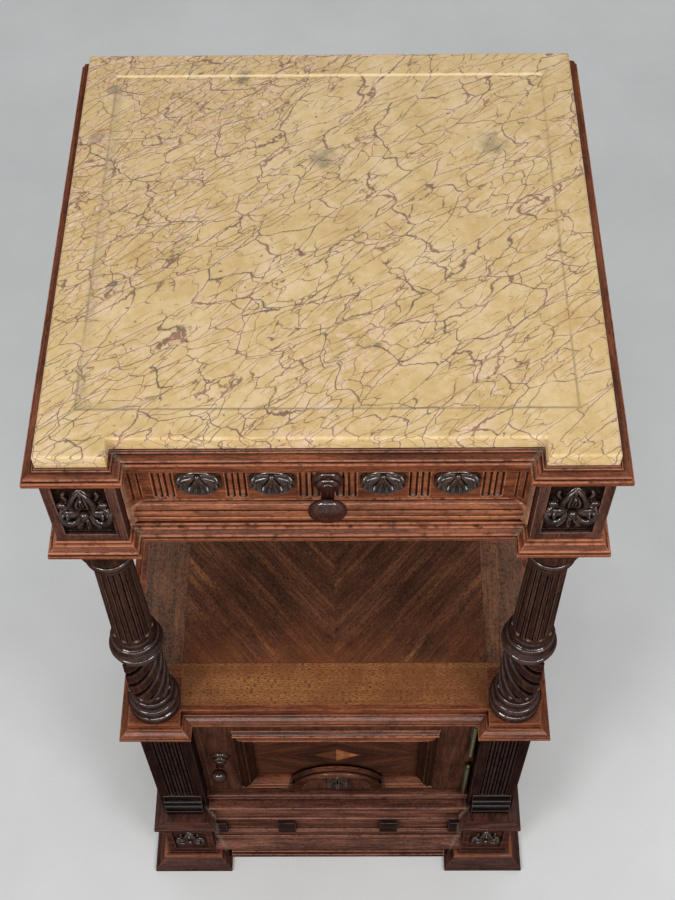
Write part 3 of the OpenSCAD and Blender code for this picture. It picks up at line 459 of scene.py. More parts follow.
def dark_ground(name, tones, face_y):
    """Walnut that is blackened and stippled round the column's axis from the plane face_y back"""
    def paint(tree):
        surface = wood_surface(tree, laid_grain(tree), tones, 0.38)
        at = tree.place()
        x, y, _ = tree.split(at)
        off_axis = abs(abs(x) - AXIS_X)
        inside = tree.rise(y, face_y, face_y + 1.2 * MM) * tree.rise(off_axis, 19.6 * MM, 18.8 * MM)
        stipple = tree.noise(at, 480.0, 3.0, 0.6)
        ground = tree.ramp(stipple, (0.35, rgb(14, 9, 8)), (0.6, rgb(36, 23, 19)), (0.75, rgb(60, 40, 32)))
        surface["Base Color"] = tree.tint(inside * 0.92, surface["Base Color"], ground)
        return surface
    return finish(name, paint)


CHEVRON_SLOPE = math.radians(49)


def shelf_veneer(tree):
    """Shelf: a cross band in front, a band up each side and a chevron field between them"""
    at = tree.place()
    x, y, z = tree.split(at)
    in_front = y < FRONT_BAND_Y
    in_side = (abs(x) > SIDE_BAND_X) * (1.0 - in_front)
    in_field = (1.0 - in_front) * (1.0 - in_side)
    along = abs(x) * math.cos(CHEVRON_SLOPE) + y * math.sin(CHEVRON_SLOPE)
    across = y * math.cos(CHEVRON_SLOPE) - abs(x) * math.sin(CHEVRON_SLOPE) + (x > 0.0) * 0.013
    grain = tree.either(in_side, tree.joined(along, across, z), tree.joined(y, x + 0.6, z))
    grain = tree.either(in_front, grain, tree.joined(x, y + 0.3, z))
    surface = wood_surface(tree, grain, VENEER_TONES, 0.42, dust=0.35, grime=0.8, wear=0.0, fleck=0.95)
    stripes = tree.noise(tree.scaled(grain, (2.0, 120.0, 120.0)), 1.0, 3.0, 0.7)
    dark_stripe = in_field * tree.rise(stripes, 0.58, 0.4) * 0.4
    colour = tree.tint(dark_stripe, surface["Base Color"], rgb(46, 29, 24))
    warm = tree.rise(y, -0.05, -0.14) * tree.rise(tree.noise(at, 14.0, 3.0, 0.6), 0.35, 0.65)
    colour = tree.tint(in_field * warm * 0.35, colour, rgb(150, 84, 50))
    faded = (tree.rise(y, -0.02, 0.12) * in_field + in_side) * 0.3
    faded = faded * tree.rise(tree.noise(at, 300.0, 3.0, 0.6), 0.35, 0.6)
    colour = tree.tint(faded, colour, rgb(126, 100, 80))
    colour = tree.tint(in_front * 0.85, colour, golden_band(tree, at, x, grain, stripes))
    seam = tree.rise(abs(y - FRONT_BAND_Y), 0.5 * MM, 0.15 * MM)
    side_seam = tree.rise(abs(abs(x) - SIDE_BAND_X), 0.5 * MM, 0.15 * MM) * (1.0 - in_front)
    surface["Base Color"] = tree.tint((seam + side_seam) * 0.5, colour, rgb(40, 24, 18))
    return surface


def golden_band(tree, at, x, grain, stripes):
    """Colour of the shelf's front band: golden with dark flecks, browner in clouds and at its ends"""
    flecks = tree.noise(tree.scaled(grain, (300.0, 1200.0, 1200.0)), 1.0, 2.0, 0.5)
    gold = tree.ramp(stripes, (0.35, rgb(146, 92, 54)), (0.65, rgb(180, 122, 74)))
    gold = tree.tint(tree.rise(flecks, 0.47, 0.6) * 0.85, gold, rgb(74, 46, 31))
    gold = tree.tint(tree.rise(tree.noise(at, 22.0, 3.0, 0.6), 0.42, 0.62) * 0.5, gold, rgb(112, 66, 40))
    return tree.tint(tree.rise(abs(x), 0.09, 0.15) * 0.4, gold, rgb(88, 56, 38))


LEAF_SLOPE = math.radians(24)


def door_veneer(tree):
    """Door panel: four matched leaves that meet in a pale arrow at the middle"""
    x, y, z = tree.split(tree.place())
    fold_x, fold_z = abs(x), abs(z - PANEL_MIDDLE_Z)
    along = fold_x * math.cos(LEAF_SLOPE) - fold_z * math.sin(LEAF_SLOPE)
    across = fold_x * math.sin(LEAF_SLOPE) + fold_z * math.cos(LEAF_SLOPE)
    grain = tree.joined(along, across, y)
    surface = wood_surface(tree, grain, DOOR_VENEER_TONES, 0.36, dust=0.1)
    reach = fold_z * 1.4 + fold_x
    arrow = tree.rise(reach, 26 * MM, 24 * MM) * (0.5 + (tree.noise(grain, 90.0, 3.0, 0.6) - 0.5) * 1.4)
    arrow = arrow * (0.14 + tree.rise(x, -0.4 * MM, 0.4 * MM) * 0.86)
    border = tree.rise(abs(reach - 40 * MM), 8 * MM, 7 * MM)
    outline = tree.rise(abs(reach - 24 * MM), 1.4 * MM, 0.3 * MM)
    colour = tree.tint(border * 0.35, surface["Base Color"], rgb(40, 24, 20))
    colour = tree.tint(arrow, colour, rgb(178, 112, 68))
    surface["Base Color"] = tree.tint(outline * 0.5, colour, rgb(34, 20, 16))
    return surface


# ---- carving, blocks and brass ----

def carved_black(tree):
    """Blackened walnut of the carvings, lighter brown on what stands proud (partly rubbing, partly painted
    highlight) and near black in hollows (painted shade)
    """
    at = tree.place()
    cloud = tree.noise(at, 120.0, 3.0, 0.6)
    specks = tree.noise(at, 700.0, 2.0, 0.6)
    colour = tree.ramp(cloud, (0.35, rgb(16, 10, 9)), (0.55, rgb(34, 22, 18)), (0.75, rgb(56, 35, 27)))
    rubbed_and_highlit = tree.rise(tree.hollow(2 * MM, inside=True), 0.2, 0.7) * tree.rise(specks, 0.4, 0.62)
    arris, quirk = arris_and_quirk(tree)
    # Outer edges are lightened to brown, partly rubbing and partly painted highlight; arrises get a further
    # painted highlight.
    colour = tree.tint(rubbed_and_highlit * 0.4, colour, rgb(112, 84, 66))
    colour = tree.tint(arris * tree.rise(specks, 0.3, 0.55) * 0.4, colour, rgb(104, 80, 66))
    # Hollows and quirks are darkened almost to black: painted shade.
    deep = tree.rise(tree.hollow(4 * MM), 0.2, 0.8)
    colour = tree.tint(tree.larger(deep, quirk) * 0.85, colour, rgb(7, 5, 5))
    dusty = tree.rise(specks, 0.66, 0.78) * 0.3
    return {
        "Base Color": tree.tint(dusty, colour, DUST),
        "Roughness": 0.2 + cloud * 0.2 + dusty * 0.3,
        "Normal": tree.bump(cloud * 0.6 + specks * 0.4, 0.2 * MM, 0.6),
        "Specular IOR Level": 0.02,
        "Coat Weight": polish(tree, 1.0),
        "Coat Roughness": 0.1,
        "Coat IOR": 1.65,
    }


def ebonised(tree):
    """Even black polish of the post bases"""
    at = tree.place()
    cloud = tree.noise(tree.scaled(at, (60.0, 260.0, 260.0)), 1.0, 3.0, 0.6)
    specks = tree.noise(at, 800.0, 2.0, 0.6)
    colour = tree.ramp(cloud, (0.35, rgb(13, 9, 8)), (0.55, rgb(22, 16, 15)), (0.75, rgb(36, 25, 22)))
    rubbed_and_highlit = tree.rise(tree.hollow(1.5 * MM, inside=True), 0.2, 0.6) * tree.rise(specks, 0.4, 0.6)
    arris, quirk = arris_and_quirk(tree)
    # Edges and arrises are lightened: partly rubbing, partly painted highlight.
    colour = tree.tint(tree.larger(rubbed_and_highlit, arris) * 0.45, colour, rgb(112, 86, 70))
    # Quirks are darkened almost to black: painted shade.
    colour = tree.tint(quirk * 0.9, colour, rgb(5, 4, 4))
    dusty = tree.rise(specks, 0.64, 0.76) * 0.25
    return {
        "Base Color": tree.tint(dusty, colour, DUST),
        "Roughness": 0.26 + cloud * 0.22,
        "Normal": tree.bump(cloud * 0.5 + specks * 0.5, 0.08 * MM, 0.6),
        "Specular IOR Level": 0.0,
        "Coat Weight": polish(tree, 0.55),
        "Coat Roughness": 0.15,
    }


def aged_brass(tree):
    """Tarnished brass of the hinges, brighter in clouds"""
    cloud = tree.noise(tree.place(), 260.0, 4.0, 0.65)
    tarnish = (0.3, rgb(48, 42, 28)), (0.55, rgb(96, 84, 52)), (0.75, rgb(146, 130, 84))
    return {
        "Base Color": tree.ramp(cloud, *tarnish),
        "Metallic": 0.35 + tree.rise(cloud, 0.35, 0.6) * 0.6,
        "Roughness": 0.62 - cloud * 0.4,
        "Normal": tree.bump(cloud, 0.1 * MM, 0.5),
    }


# ---- marble ----

CRACK_TURN = math.radians(-38)

# Stains on the marble: place, reach and strength
MARBLE_MARKS = (
    (-0.004, 0.086, 0.017, 0.5), (-0.069, 0.181, 0.010, 1.0), (0.129, 0.102, 0.017, 0.45),
    (-0.176, 0.165, 0.010, 0.5), (-0.186, 0.110, 0.008, 0.4), (0.036, -0.098, 0.004, 0.6),
)


def crack_net(tree, drift, size, stretch, bend, seed, width):
    """Cracks between cells of one size, drawn out along X: 1 on a crack, and how near one is"""
    drawn = tree.scaled(tree.shifted(drift, (seed, seed * 0.7, seed * 0.3)), (1.0 / stretch, 1.0, 1.0))
    swayed = tree.shifted(drawn, tree.sway(drawn, 0.7 / size, 0.5, bend * size))
    edge = tree.node(
        "ShaderNodeTexVoronoi", {"feature": "DISTANCE_TO_EDGE"},
        {"Vector": swayed, "Scale": 1.0 / size, "Randomness": 1.0},
    )
    return tree.rise(edge * size, width, width * 0.1), edge


def thread_veins(tree, drift, along, across, seed, width):
    """Long wavering threads of one width, drawn out along X: 1 on a thread"""
    start = tree.shifted(drift, (seed, seed * 1.3, seed))
    step = 0.5 * MM
    stretch = (along, across, across)
    drawn = [tree.scaled(tree.shifted(start, (0.0, push, 0.0)), stretch) for push in (0.0, step)]
    here, beside = (tree.noise(vector, 1.0, 3.0, 0.5, 0.2) for vector in drawn)
    slope = tree.larger(abs(beside - here), 0.001) / step
    return tree.rise(abs(here - 0.5) / slope, width, width * 0.15)


def marble_surface(tree):
    """Yellow marble, crazed by purple-brown cracks that run up to the right"""
    at = tree.place()
    x, y, _ = tree.split(at)
    drift = tree.node(
        "ShaderNodeMapping", {"vector_type": "POINT"},
        {"Vector": tree.shifted(at, tree.sway(at, 230.0, 0.6, 1.7 * MM)), "Rotation": (0.0, 0.0, CRACK_TURN)},
    )
    cloud = tree.noise(at, 18.0, 4.0, 0.6)
    mottle = tree.noise(at, 110.0, 4.0, 0.65)
    grain = tree.noise(at, 520.0, 3.0, 0.6)
    bands = tree.noise(tree.scaled(drift, (6.0, 20.0, 20.0)), 1.0, 3.0, 0.6)
    left_back = tree.rise(y * 0.8 - x, -0.02, 0.34)
    crazed = tree.rise(bands + left_back * 0.16, 0.46, 0.66)
    ground = marble_ground(tree, drift, cloud, mottle, grain, crazed, left_back)
    colour, lines = marble_cracks(tree, at, drift, ground, bands, crazed, left_back)
    colour = marble_stains(tree, at, colour, x, y)
    return {
        "Base Color": field_dirt_and_light(tree, colour, x, y, 0.4 + (cloud - 0.5) * 1.8),
        "Roughness": 0.36 + mottle * 0.2 + lines * 0.15,
        "Normal": tree.bump(1.0 - lines + grain * 0.2, 0.12 * MM, 0.5),
        "Specular IOR Level": 0.3,
        "Coat Weight": 0.06,
        "Coat Roughness": 0.3,
    }


def marble_ground(tree, drift, cloud, mottle, grain, crazed, left_back):
    """The yellow between the cracks, pink, chalky or rusty where it is crazed"""
    ground = tree.ramp(
        cloud * 0.5 + mottle * 0.5,
        (0.34, rgb(200, 166, 108)), (0.5, rgb(213, 182, 128)), (0.66, rgb(224, 198, 152)),
    )
    ground = tree.tint(tree.rise(grain, 0.54, 0.7) * 0.18, ground, rgb(190, 150, 104))
    blush = tree.rise(mottle, 0.5, 0.64) * (crazed * 0.6 + 0.06)
    ground = tree.tint(blush, ground, rgb(230, 196, 168))
    patches = tree.noise(tree.scaled(drift, (70.0, 190.0, 190.0)), 1.0, 3.0, 0.6)
    ground = tree.tint(tree.rise(patches, 0.6, 0.72) * crazed * 0.7, ground, rgb(232, 216, 200))
    rusty = tree.rise(mottle, 0.56, 0.66) * crazed * (left_back * 0.7 + 0.1)
    return tree.tint(rusty, ground, rgb(184, 128, 94))


def marble_cracks(tree, at, drift, ground, bands, crazed, left_back):
    """Three nets of cracks and two runs of threads over the ground: the colour, and how deep they lie"""
    breaks = tree.noise(at, 70.0, 2.0, 0.5)
    tone = tree.noise(at, 38.0, 3.0, 0.6)
    great, near_great = crack_net(tree, drift, 26 * MM, 2.6, 0.9, 0.31, 0.38 * MM)
    middle, _ = crack_net(tree, drift, 10.5 * MM, 2.6, 0.9, 0.77, 0.32 * MM)
    small, _ = crack_net(tree, drift, 5.5 * MM, 1.8, 0.8, 1.43, 0.28 * MM)
    threads = thread_veins(tree, drift, 6.0, 26.0, 0.9, 0.6 * MM)
    more_threads = thread_veins(tree, drift, 8.0, 40.0, 2.3, 0.5 * MM)
    great = great * tree.rise(breaks, 0.22, 0.34)
    middle = middle * tree.rise(bands * 0.6 + breaks * 0.4 + left_back * 0.08, 0.43, 0.5)
    small = small * tree.rise(crazed * 0.5 + breaks * 0.4 + left_back * 0.35, 0.6, 0.8)
    threads = threads * tree.rise(breaks, 0.2, 0.32)
    more_threads = more_threads * tree.rise(tone * 0.5 + breaks * 0.5, 0.44, 0.51)
    halo = tree.rise(near_great, 0.13, 0.02) * tree.rise(tone, 0.42, 0.58) * 0.4
    colour = tree.tint(halo, ground, rgb(226, 202, 172))
    colour = tree.tint(small * 0.6, colour, rgb(140, 98, 76))
    dark = tree.ramp(tone, (0.34, rgb(98, 86, 76)), (0.48, rgb(118, 88, 74)), (0.62, rgb(146, 98, 76)))
    for crack, strength in ((more_threads, 0.6), (threads, 0.75), (middle, 0.85), (great, 0.9)):
        colour = tree.tint(crack * strength, colour, dark)
    return colour, great * 0.7 + middle * 0.5 + threads * 0.4 + small * 0.2


def marble_stains(tree, at, colour, x, y):
    """Fine dark specks and a few grey stains"""
    specks = tree.noise(at, 260.0, 1.0, 0.4)
    colour = tree.tint(tree.rise(specks, 0.75, 0.79) * 0.7, colour, rgb(84, 76, 66))
    ragged = tree.noise(at, 85.0, 5.0, 0.75) - 0.5
    for mark_x, mark_y, reach, strength in MARBLE_MARKS:
        away = ((x - mark_x) ** 2.0 + (y - mark_y) ** 2.0) ** 0.5 + ragged * reach * 2.6
        colour = tree.tint(tree.rise(away, reach, reach * 0.1) * strength, colour, rgb(84, 80, 72))
    return colour


def field_dirt_and_light(tree, colour, x, y, dirt_and_shade):
    """Dirt and painted shade along the foot of the sunk field's slopes, painted light on the slope at the back,
    and a smear to the left
    """
    off_foot = tree.larger(abs(x) - FIELD_X, abs(y - FIELD_Y) - FIELD_HALF_Y) + SLOPE_IN
    far_side = FIELD_Y + FIELD_HALF_Y
    # A dark line at the foot of the front and side slopes: partly dirt, partly painted shade.
    foot = tree.rise(abs(off_foot), 1.4 * MM, 0.1 * MM) * tree.rise(y, far_side - 4 * MM, far_side - 12 * MM)
    colour = tree.tint(foot * dirt_and_shade, colour, rgb(136, 118, 84))
    shine = tree.rise(abs(off_foot - SLOPE_IN * 0.5), 1.5 * MM, 0.4 * MM)
    shine = shine * tree.rise(y, far_side - 4 * MM, far_side - 2 * MM)
    shine = shine * tree.rise(abs(x), FIELD_X + 1 * MM, FIELD_X - 2 * MM)
    colour = tree.tint(shine * 0.6, colour, rgb(250, 226, 178))
    smear = tree.rise(abs(off_foot + 2.5 * MM), 6 * MM, 1 * MM) * tree.rise(x, -0.12, -0.16)
    return tree.tint(smear * dirt_and_shade * 0.5, colour, rgb(146, 132, 100))


# ---- the finishes ----

MARBLE = finish("yellow_crazed_marble", marble_surface)
WALNUT = walnut("polished_walnut")
CASE_WOOD = walnut("case_walnut", CASE_TONES, 0.4)
COLUMN_WOOD = walnut("column_walnut_polish", COLUMN_TONES, 0.26, dust=0.25, wear=0.4, coat=1.0, glaze=0.1)
POST_WOOD = walnut("post_walnut", POST_TONES, 0.38, dust=0.2, wear=0.35, coat=0.4)
PLINTH_WOOD = walnut("plinth_walnut", PLINTH_TONES, wear=0.85)
STEPPED_BLOCK_WOOD = walnut("plinth_block_walnut", STEPPED_BLOCK_TONES, 0.36)
KNOB_WOOD = walnut("knob_walnut", KNOB_TONES, 0.18, dust=0.1, wear=0.3, coat=1.0, glaze=0.07)
DUSTY_WOOD = walnut("dusty_walnut", DUSTY_TONES, 0.3, board_grain("Z"), dust=0.6, wear=0.3, grime=0.35)
BLOCK_WOOD = dark_ground("corner_block_walnut", BLOCK_TONES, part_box("corner_block_right")[0].y + 1.4 * MM)
FOOT_WOOD = dark_ground("foot_walnut", FOOT_TONES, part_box("post_base_right")[0].y)
DRAWER_WOOD = finish("drawer_walnut", drawer_walnut)
DOOR_MOULDING = finish("door_moulding_walnut", door_moulding)
SHELF_VENEER = finish("shelf_chevron_veneer", shelf_veneer)
DOOR_VENEER = finish("door_matched_veneer", door_veneer)
CARVED = finish("blackened_carving", carved_black)
EBONISED = finish("ebonised_walnut", ebonised)
BRASS = finish("aged_brass", aged_brass)
BACK_WOOD = walnut("back_board", BACK_TONES, 0.6, board_grain("Z"), wear=0.0, dust=0.2)
INNER = {
    axis: walnut(f"inner_board_{axis.lower()}", INNER_TONES, 0.62, board_grain(axis), wear=0.0, dust=0.1)
    for axis in "XY"
}


# ---- making pieces ----

SHARPEST = 2.5


def mark_lines(mesh):
    """Stores how sharply each face turns: above 0 on arrises and rounds, below 0 in quirks"""
    bm = bmesh.new()
    bm.from_mesh(mesh)
    turns = []
    for face in bm.faces:
        area = face.calc_area()
        turn = sum(e.calc_face_angle_signed(0.0) * e.calc_length() for e in face.edges)
        turns.append(max(-1.0, min(1.0, turn * MM / area / SHARPEST)) if area > 1e-12 else 0.0)
    bm.free()
    layer = mesh.attributes.new("line", "FLOAT", "FACE")
    layer.data.foreach_set("value", turns)


def piece(name, mesh, material, body, replaces=()):
    """A finished piece, riding on its body and standing for the solids it replaces"""
    mark_lines(mesh)
    thing = bpy.data.objects.new(name, mesh)
    bpy.context.scene.collection.objects.link(thing)
    if not mesh.materials:
        mesh.materials.append(material)
    if replaces:
        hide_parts(*replaces)
    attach(thing, body)
    return thing


def clean_solid(node):
    """A solid's faces as whole planes, its loose triangles merged"""
    bm = bmesh.new()
    bm.from_mesh(frame["nodes"][node].data)
    bmesh.ops.remove_doubles(bm, verts=bm.verts, dist=2e-6)
    bmesh.ops.dissolve_limit(bm, angle_limit=math.radians(0.4), verts=bm.verts, edges=bm.edges)
    mesh = bpy.data.meshes.new(node)
    bm.verts.index_update()
    mesh.from_pydata([v.co[:] for v in bm.verts], [], [[v.index for v in f.verts] for f in bm.faces])
    bm.free()
    return mesh


def settled(thing):
    """The object's mesh with its modifiers taken in"""
    bpy.context.view_layer.update()
    made = thing.evaluated_get(bpy.context.evaluated_depsgraph_get())
    mesh = bpy.data.meshes.new_from_object(made)
    bpy.data.objects.remove(thing)
    return mesh


def eased(mesh, width, angle=28):
    """The same form with its edges rounded over and its shading evened out"""
    for polygon in mesh.polygons:
        polygon.use_smooth = True
    thing = bpy.data.objects.new("work", mesh)
    bpy.context.scene.collection.objects.link(thing)
    bevel = thing.modifiers.new("ease", "BEVEL")
    bevel.width = width
    bevel.segments = 2
    bevel.limit_method = "ANGLE"
    bevel.angle_limit = math.radians(angle)
    bevel.use_clamp_overlap = True
    thing.modifiers.new("weigh", "WEIGHTED_NORMAL").weight = 60
    return settled(thing)


def run_by_normal(centre, normal):
    """Mouldings follow the front or the sides: the grain runs the way the profile does"""
    if abs(normal.x) > abs(normal.y) + 0.02:
        return "Y"
    if abs(normal.y) > abs(normal.x) + 0.02:
        return "X"
    return "X" if HALF_WIDTH - abs(centre.x) > centre.y - FRONT else "Y"


def stile_or_rail(centre, _):
    """Side frames: stiles upright, rails level"""
    low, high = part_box("side_frame_right")
    return "Y" if low.y + 30 * MM < centre.y < high.y - 30 * MM else "Z"


def run_round_panel(centre, normal):
    """Door moulding: the grain follows each side; the arch is cut from a level piece"""
    return "Z" if abs(normal.x) > abs(normal.z) + 0.02 and abs(centre.x) > 60 * MM else "X"


def lay_grain(mesh, run, seed):
    """Stores on every corner its place in its board, the grain's direction first"""
    order = {"X": (0, 1, 2), "Y": (1, 0, 2), "Z": (2, 0, 1)}
    layer = mesh.attributes.new("grain", "FLOAT_VECTOR", "CORNER")
    values = [0.0] * (3 * len(mesh.loops))
    for polygon in mesh.polygons:
        axis = run(polygon.center, polygon.normal) if callable(run) else run
        a, b, c = order[axis]
        push = seed + {"X": 0.0, "Y": 1.7, "Z": 3.1}[axis] + (0.6 if polygon.center.x > 0 else 0.0)
        for loop in polygon.loop_indices:
            co = mesh.vertices[mesh.loops[loop].vertex_index].co
            values[3 * loop] = co[a] + push
            values[3 * loop + 1] = co[b] + push * 0.37
            values[3 * loop + 2] = co[c] + push * 0.61
    layer.data.foreach_set("vector", values)
    return mesh


def worked(node, material, run="X", ease=0.45 * MM, angle=28):
    """A solid's form with eased edges and laid grain, in place of the plain solid"""
    place_in_timber = len(node) * 0.213 + ord(node[0]) * 0.017
    mesh = lay_grain(eased(clean_solid(node), ease, angle), run, place_in_timber)
    return piece(node + "_worked", mesh, material, BODY_OF[node], [node])


def paint_solid(node, material):
    """A solid that keeps its own form, with a finish of its own"""
    for place in frame["nodes"][node].material_slots:
        place.material = material


def smooth(mesh, sharp=40):
    bm = bmesh.new()
    bm.from_mesh(mesh)
    bmesh.ops.remove_doubles(bm, verts=bm.verts, dist=1e-7)
    bmesh.ops.recalc_face_normals(bm, faces=bm.faces)
    bm.to_mesh(mesh)
    bm.free()
    for polygon in mesh.polygons:
        polygon.use_smooth = True
    mesh.set_sharp_from_angle(angle=math.radians(sharp))


def closed_mesh(verts, faces, sharp=40):
    mesh = bpy.data.meshes.new("form")
    mesh.from_pydata(verts, [], faces)
    smooth(mesh, sharp)
    return mesh


def skin(rings, sharp):
    """A closed form over rings of points, the first and the last ring filled"""
    count = len(rings[0])
    last = (len(rings) - 1) * count
    faces = [
        (base + k, base + (k + 1) % count, base + count + (k + 1) % count, base + count + k)
        for base in range(0, last, count) for k in range(count)
    ]
    faces += [tuple(reversed(range(count))), tuple(range(last, last + count))]
    return closed_mesh([co for ring in rings for co in ring], faces, sharp)


def round_angles(count):
    return [2 * math.pi * k / count for k in range(count)]


def turned(profile, centre, axis="Z", sides=96):
    """A lathe-turned form: profile holds (radius, height along the axis) and starts and ends on it"""
    angles = round_angles(sides)
    mesh = skin([[(r * math.cos(a), r * math.sin(a), z) for a in angles] for r, z in profile], 40)
    if axis == "-Y":
        mesh.transform(Matrix.Rotation(math.radians(90), 4, "X"))
    mesh.transform(Matrix.Translation(centre))
    return mesh


def spline(points, share=8):
    """A smooth line through the points, share steps to each gap"""
    line = []
    ends = [points[0]] + list(points) + [points[-1]]
    for i in range(1, len(ends) - 2):
        p0, p1, p2, p3 = ends[i - 1:i + 3]
        for k in range(share):
            t = k / share
            line.append(tuple(
                0.5 * (2 * b + (c - a) * t + (2 * a - 5 * b + 4 * c - d) * t * t
                       + (3 * b - a - 3 * c + d) * t ** 3)
                for a, b, c, d in zip(p0, p1, p2, p3)
            ))
    line.append(tuple(points[-1]))
    return line


def merged(meshes):
    bm = bmesh.new()
    for mesh in meshes:
        bm.from_mesh(mesh)
    whole = bpy.data.meshes.new("merged")
    bm.to_mesh(whole)
    bm.free()
    return whole


def placed(mesh, matrix):
    mesh.transform(matrix)
    return mesh


def moved(x, y, z):
    return Matrix.Translation((x, y, z))


def turned_in_plane(degrees):
    return Matrix.Rotation(math.radians(degrees), 4, "Z")


def facing(x, y, z, size=1.0):
    """Stands a carving that lies on its back upright on a face that looks to the front"""
    return moved(x, y, z) @ Matrix.Rotation(math.radians(90), 4, "X") @ Matrix.Scale(size, 4)


# ---- forms that follow a rule ----

def form_tree(name, **inputs):
    """A geometry tree with a mesh and these inputs, given by name and kind of socket"""
    group = bpy.data.node_groups.new(name, "GeometryNodeTree")
    group.interface.new_socket(name="Geometry", in_out="INPUT", socket_type="NodeSocketGeometry")
    for label, kind in inputs.items():
        group.interface.new_socket(name=label, in_out="INPUT", socket_type="NodeSocket" + kind)
    group.interface.new_socket(name="Geometry", in_out="OUTPUT", socket_type="NodeSocketGeometry")
    tree = Tree(group)
    return group, tree, tree.node("NodeGroupInput")


def end_form(tree, form, material):
    """The tree's last nodes: its instances made real, under one finish"""
    form = tree.node("GeometryNodeRealizeInstances", None, {"Geometry": form})
    form = tree.node("GeometryNodeSetMaterial", None, {"Geometry": form, "Material": material})
    tree.node("NodeGroupOutput", None, {"Geometry": form})


def shape_by(group, mesh, **values):
    """The mesh after a geometry tree with these inputs, as a plain mesh"""
    thing = bpy.data.objects.new("work", mesh)
    bpy.context.scene.collection.objects.link(thing)
    modifier = thing.modifiers.new("form", "NODES")
    modifier.node_group = group
    for socket in group.interface.items_tree:
        if socket.in_out == "INPUT" and socket.name in values:
            modifier[socket.identifier] = values[socket.name]
    return settled(thing)


ROD_SHARE = 0.66


def fluting_tree():
    """Sinks round-ended flutes into a turned shaft, with a rod in each; a twist makes them spiral"""
    group, tree, given = form_tree(
        "shaft_fluting", Axis="Vector", Flutes="Float", Share="Float", Depth="Float", Twist="Float",
        Foot="Float", Head="Float", End="Float", Rod="Float", Finish="Material",
    )
    foot, head, end = given.also("Foot"), given.also("Head"), given.also("End")
    x, y, z = tree.split(tree.vector("SUBTRACT", tree.node("GeometryNodeInputPosition"), given.also("Axis")))
    turn = y.math("ARCTAN2", x) + z * given.also("Twist")
    phase = (turn * given.also("Flutes") / (2 * math.pi) + 0.5).math("FRACT") - 0.5
    across = abs(phase) / (given.also("Share") * 0.5)
    beyond = tree.larger(tree.larger((foot + end - z) / end, (z - head + end) / end), 0.0)

    def rounded(off):
        return tree.larger(1.0 - off * off - beyond * beyond, 0.0) ** 0.5

    sunk = rounded(across) * given.also("Depth")
    rod = rounded(across / ROD_SHARE) * given.also("Rod")
    outward = tree.node("ShaderNodeVectorMath", {"operation": "NORMALIZE"}, {0: tree.joined(x, y, 0.0)})
    push = tree.node("ShaderNodeVectorMath", {"operation": "SCALE"}, {"Vector": outward, "Scale": rod - sunk})
    shaft = tree.node("GeometryNodeSetPosition", None, {"Geometry": given.also("Geometry"), "Offset": push})
    end_form(tree, shaft, given.also("Finish"))
    return group


def bead_tree():
    """A small bead on every point of the mesh it is given"""
    group, tree, given = form_tree("flute_bead_stops", Radius="Float", Finish="Material")
    bead = tree.node("GeometryNodeMeshIcoSphere", None, {"Radius": given.also("Radius"), "Subdivisions": 3})
    bead = tree.node("GeometryNodeSetShadeSmooth", None, {"Geometry": bead})
    points = tree.node("GeometryNodeMeshToPoints", None, {"Mesh": given.also("Geometry")})
    beads = tree.node("GeometryNodeInstanceOnPoints", None, {"Points": points, "Instance": bead})
    end_form(tree, beads, given.also("Finish"))
    return group


def fan_tree():
    """Leaves that spread from the origin in the plane of X and Y, smaller towards the sides"""
    group, tree, given = form_tree(
        "leaf_fan", Leaf="Object", Leaves="Int", Spread="Float", SideSize="Float", Finish="Material",
    )
    count = given.also("Leaves")
    share = tree.node("GeometryNodeInputIndex") / (count - 1.0) - 0.5
    size = 1.0 - abs(share) * 2.0 * (1.0 - given.also("SideSize"))
    turn = tree.joined(0.0, 0.0, share * given.also("Spread"))
    leaves = tree.node("GeometryNodeInstanceOnPoints", None, {
        "Points": tree.node("GeometryNodePoints", None, {"Count": count}),
        "Instance": tree.node("GeometryNodeObjectInfo", None, {"Object": given.also("Leaf")}, "Geometry"),
        "Rotation": tree.node("FunctionNodeEulerToRotation", None, {"Euler": turn}),
        "Scale": tree.joined(size, size, size),
    })
    end_form(tree, leaves, given.also("Finish"))
    return group


FLUTING = fluting_tree()
BEADS = bead_tree()
FAN = fan_tree()


def point_mesh(points):
    mesh = bpy.data.meshes.new("points")
    mesh.from_pydata([tuple(p) for p in points], [], [])
    return mesh


def bead_stops(name, points, radius, body):
    """A dusty bead at the end of each flute"""
    mesh = shape_by(BEADS, point_mesh(points), Radius=radius, Finish=DUSTY_WOOD)
    return piece(name, mesh, DUSTY_WOOD, body)


def fan(leaf, leaves, spread, side_size=1.0):
    """Two or more leaves spread over an angle, as one mesh"""
    pattern = bpy.data.objects.new("leaf_pattern", leaf)
    bpy.context.scene.collection.objects.link(pattern)
    mesh = shape_by(
        FAN, point_mesh([(0, 0, 0)]), Leaf=pattern, Leaves=leaves, Spread=math.radians(spread),
        SideSize=side_size, Finish=CARVED,
    )
    bpy.data.objects.remove(pattern)
    return mesh


# ---- marble top ----

def marble_top():
    """The slab with soft arrises and a sunk field whose sides slope"""
    mesh = clean_solid("marble_top")
    margin = 1 * MM
    field = [
        v for v in mesh.vertices
        if v.co.z > MARBLE_HIGH.z - FIELD_DEEPEST and abs(v.co.x) < FIELD_X + margin
        and v.co.y > FIELD_Y - FIELD_HALF_Y - margin
    ]
    floor_z = min(v.co.z for v in field)
    for v in field:
        if abs(v.co.z - floor_z) < 0.02 * MM:
            v.co.x -= math.copysign(SLOPE_IN, v.co.x)
            v.co.y -= math.copysign(SLOPE_IN, v.co.y - FIELD_Y)
    return piece("marble_slab", eased(mesh, 1.1 * MM, 13), MARBLE, "carcass", ["marble_top"])


# ---- columns ----

COLLAR = 137.5
RING_UNDER_HEAD = 58


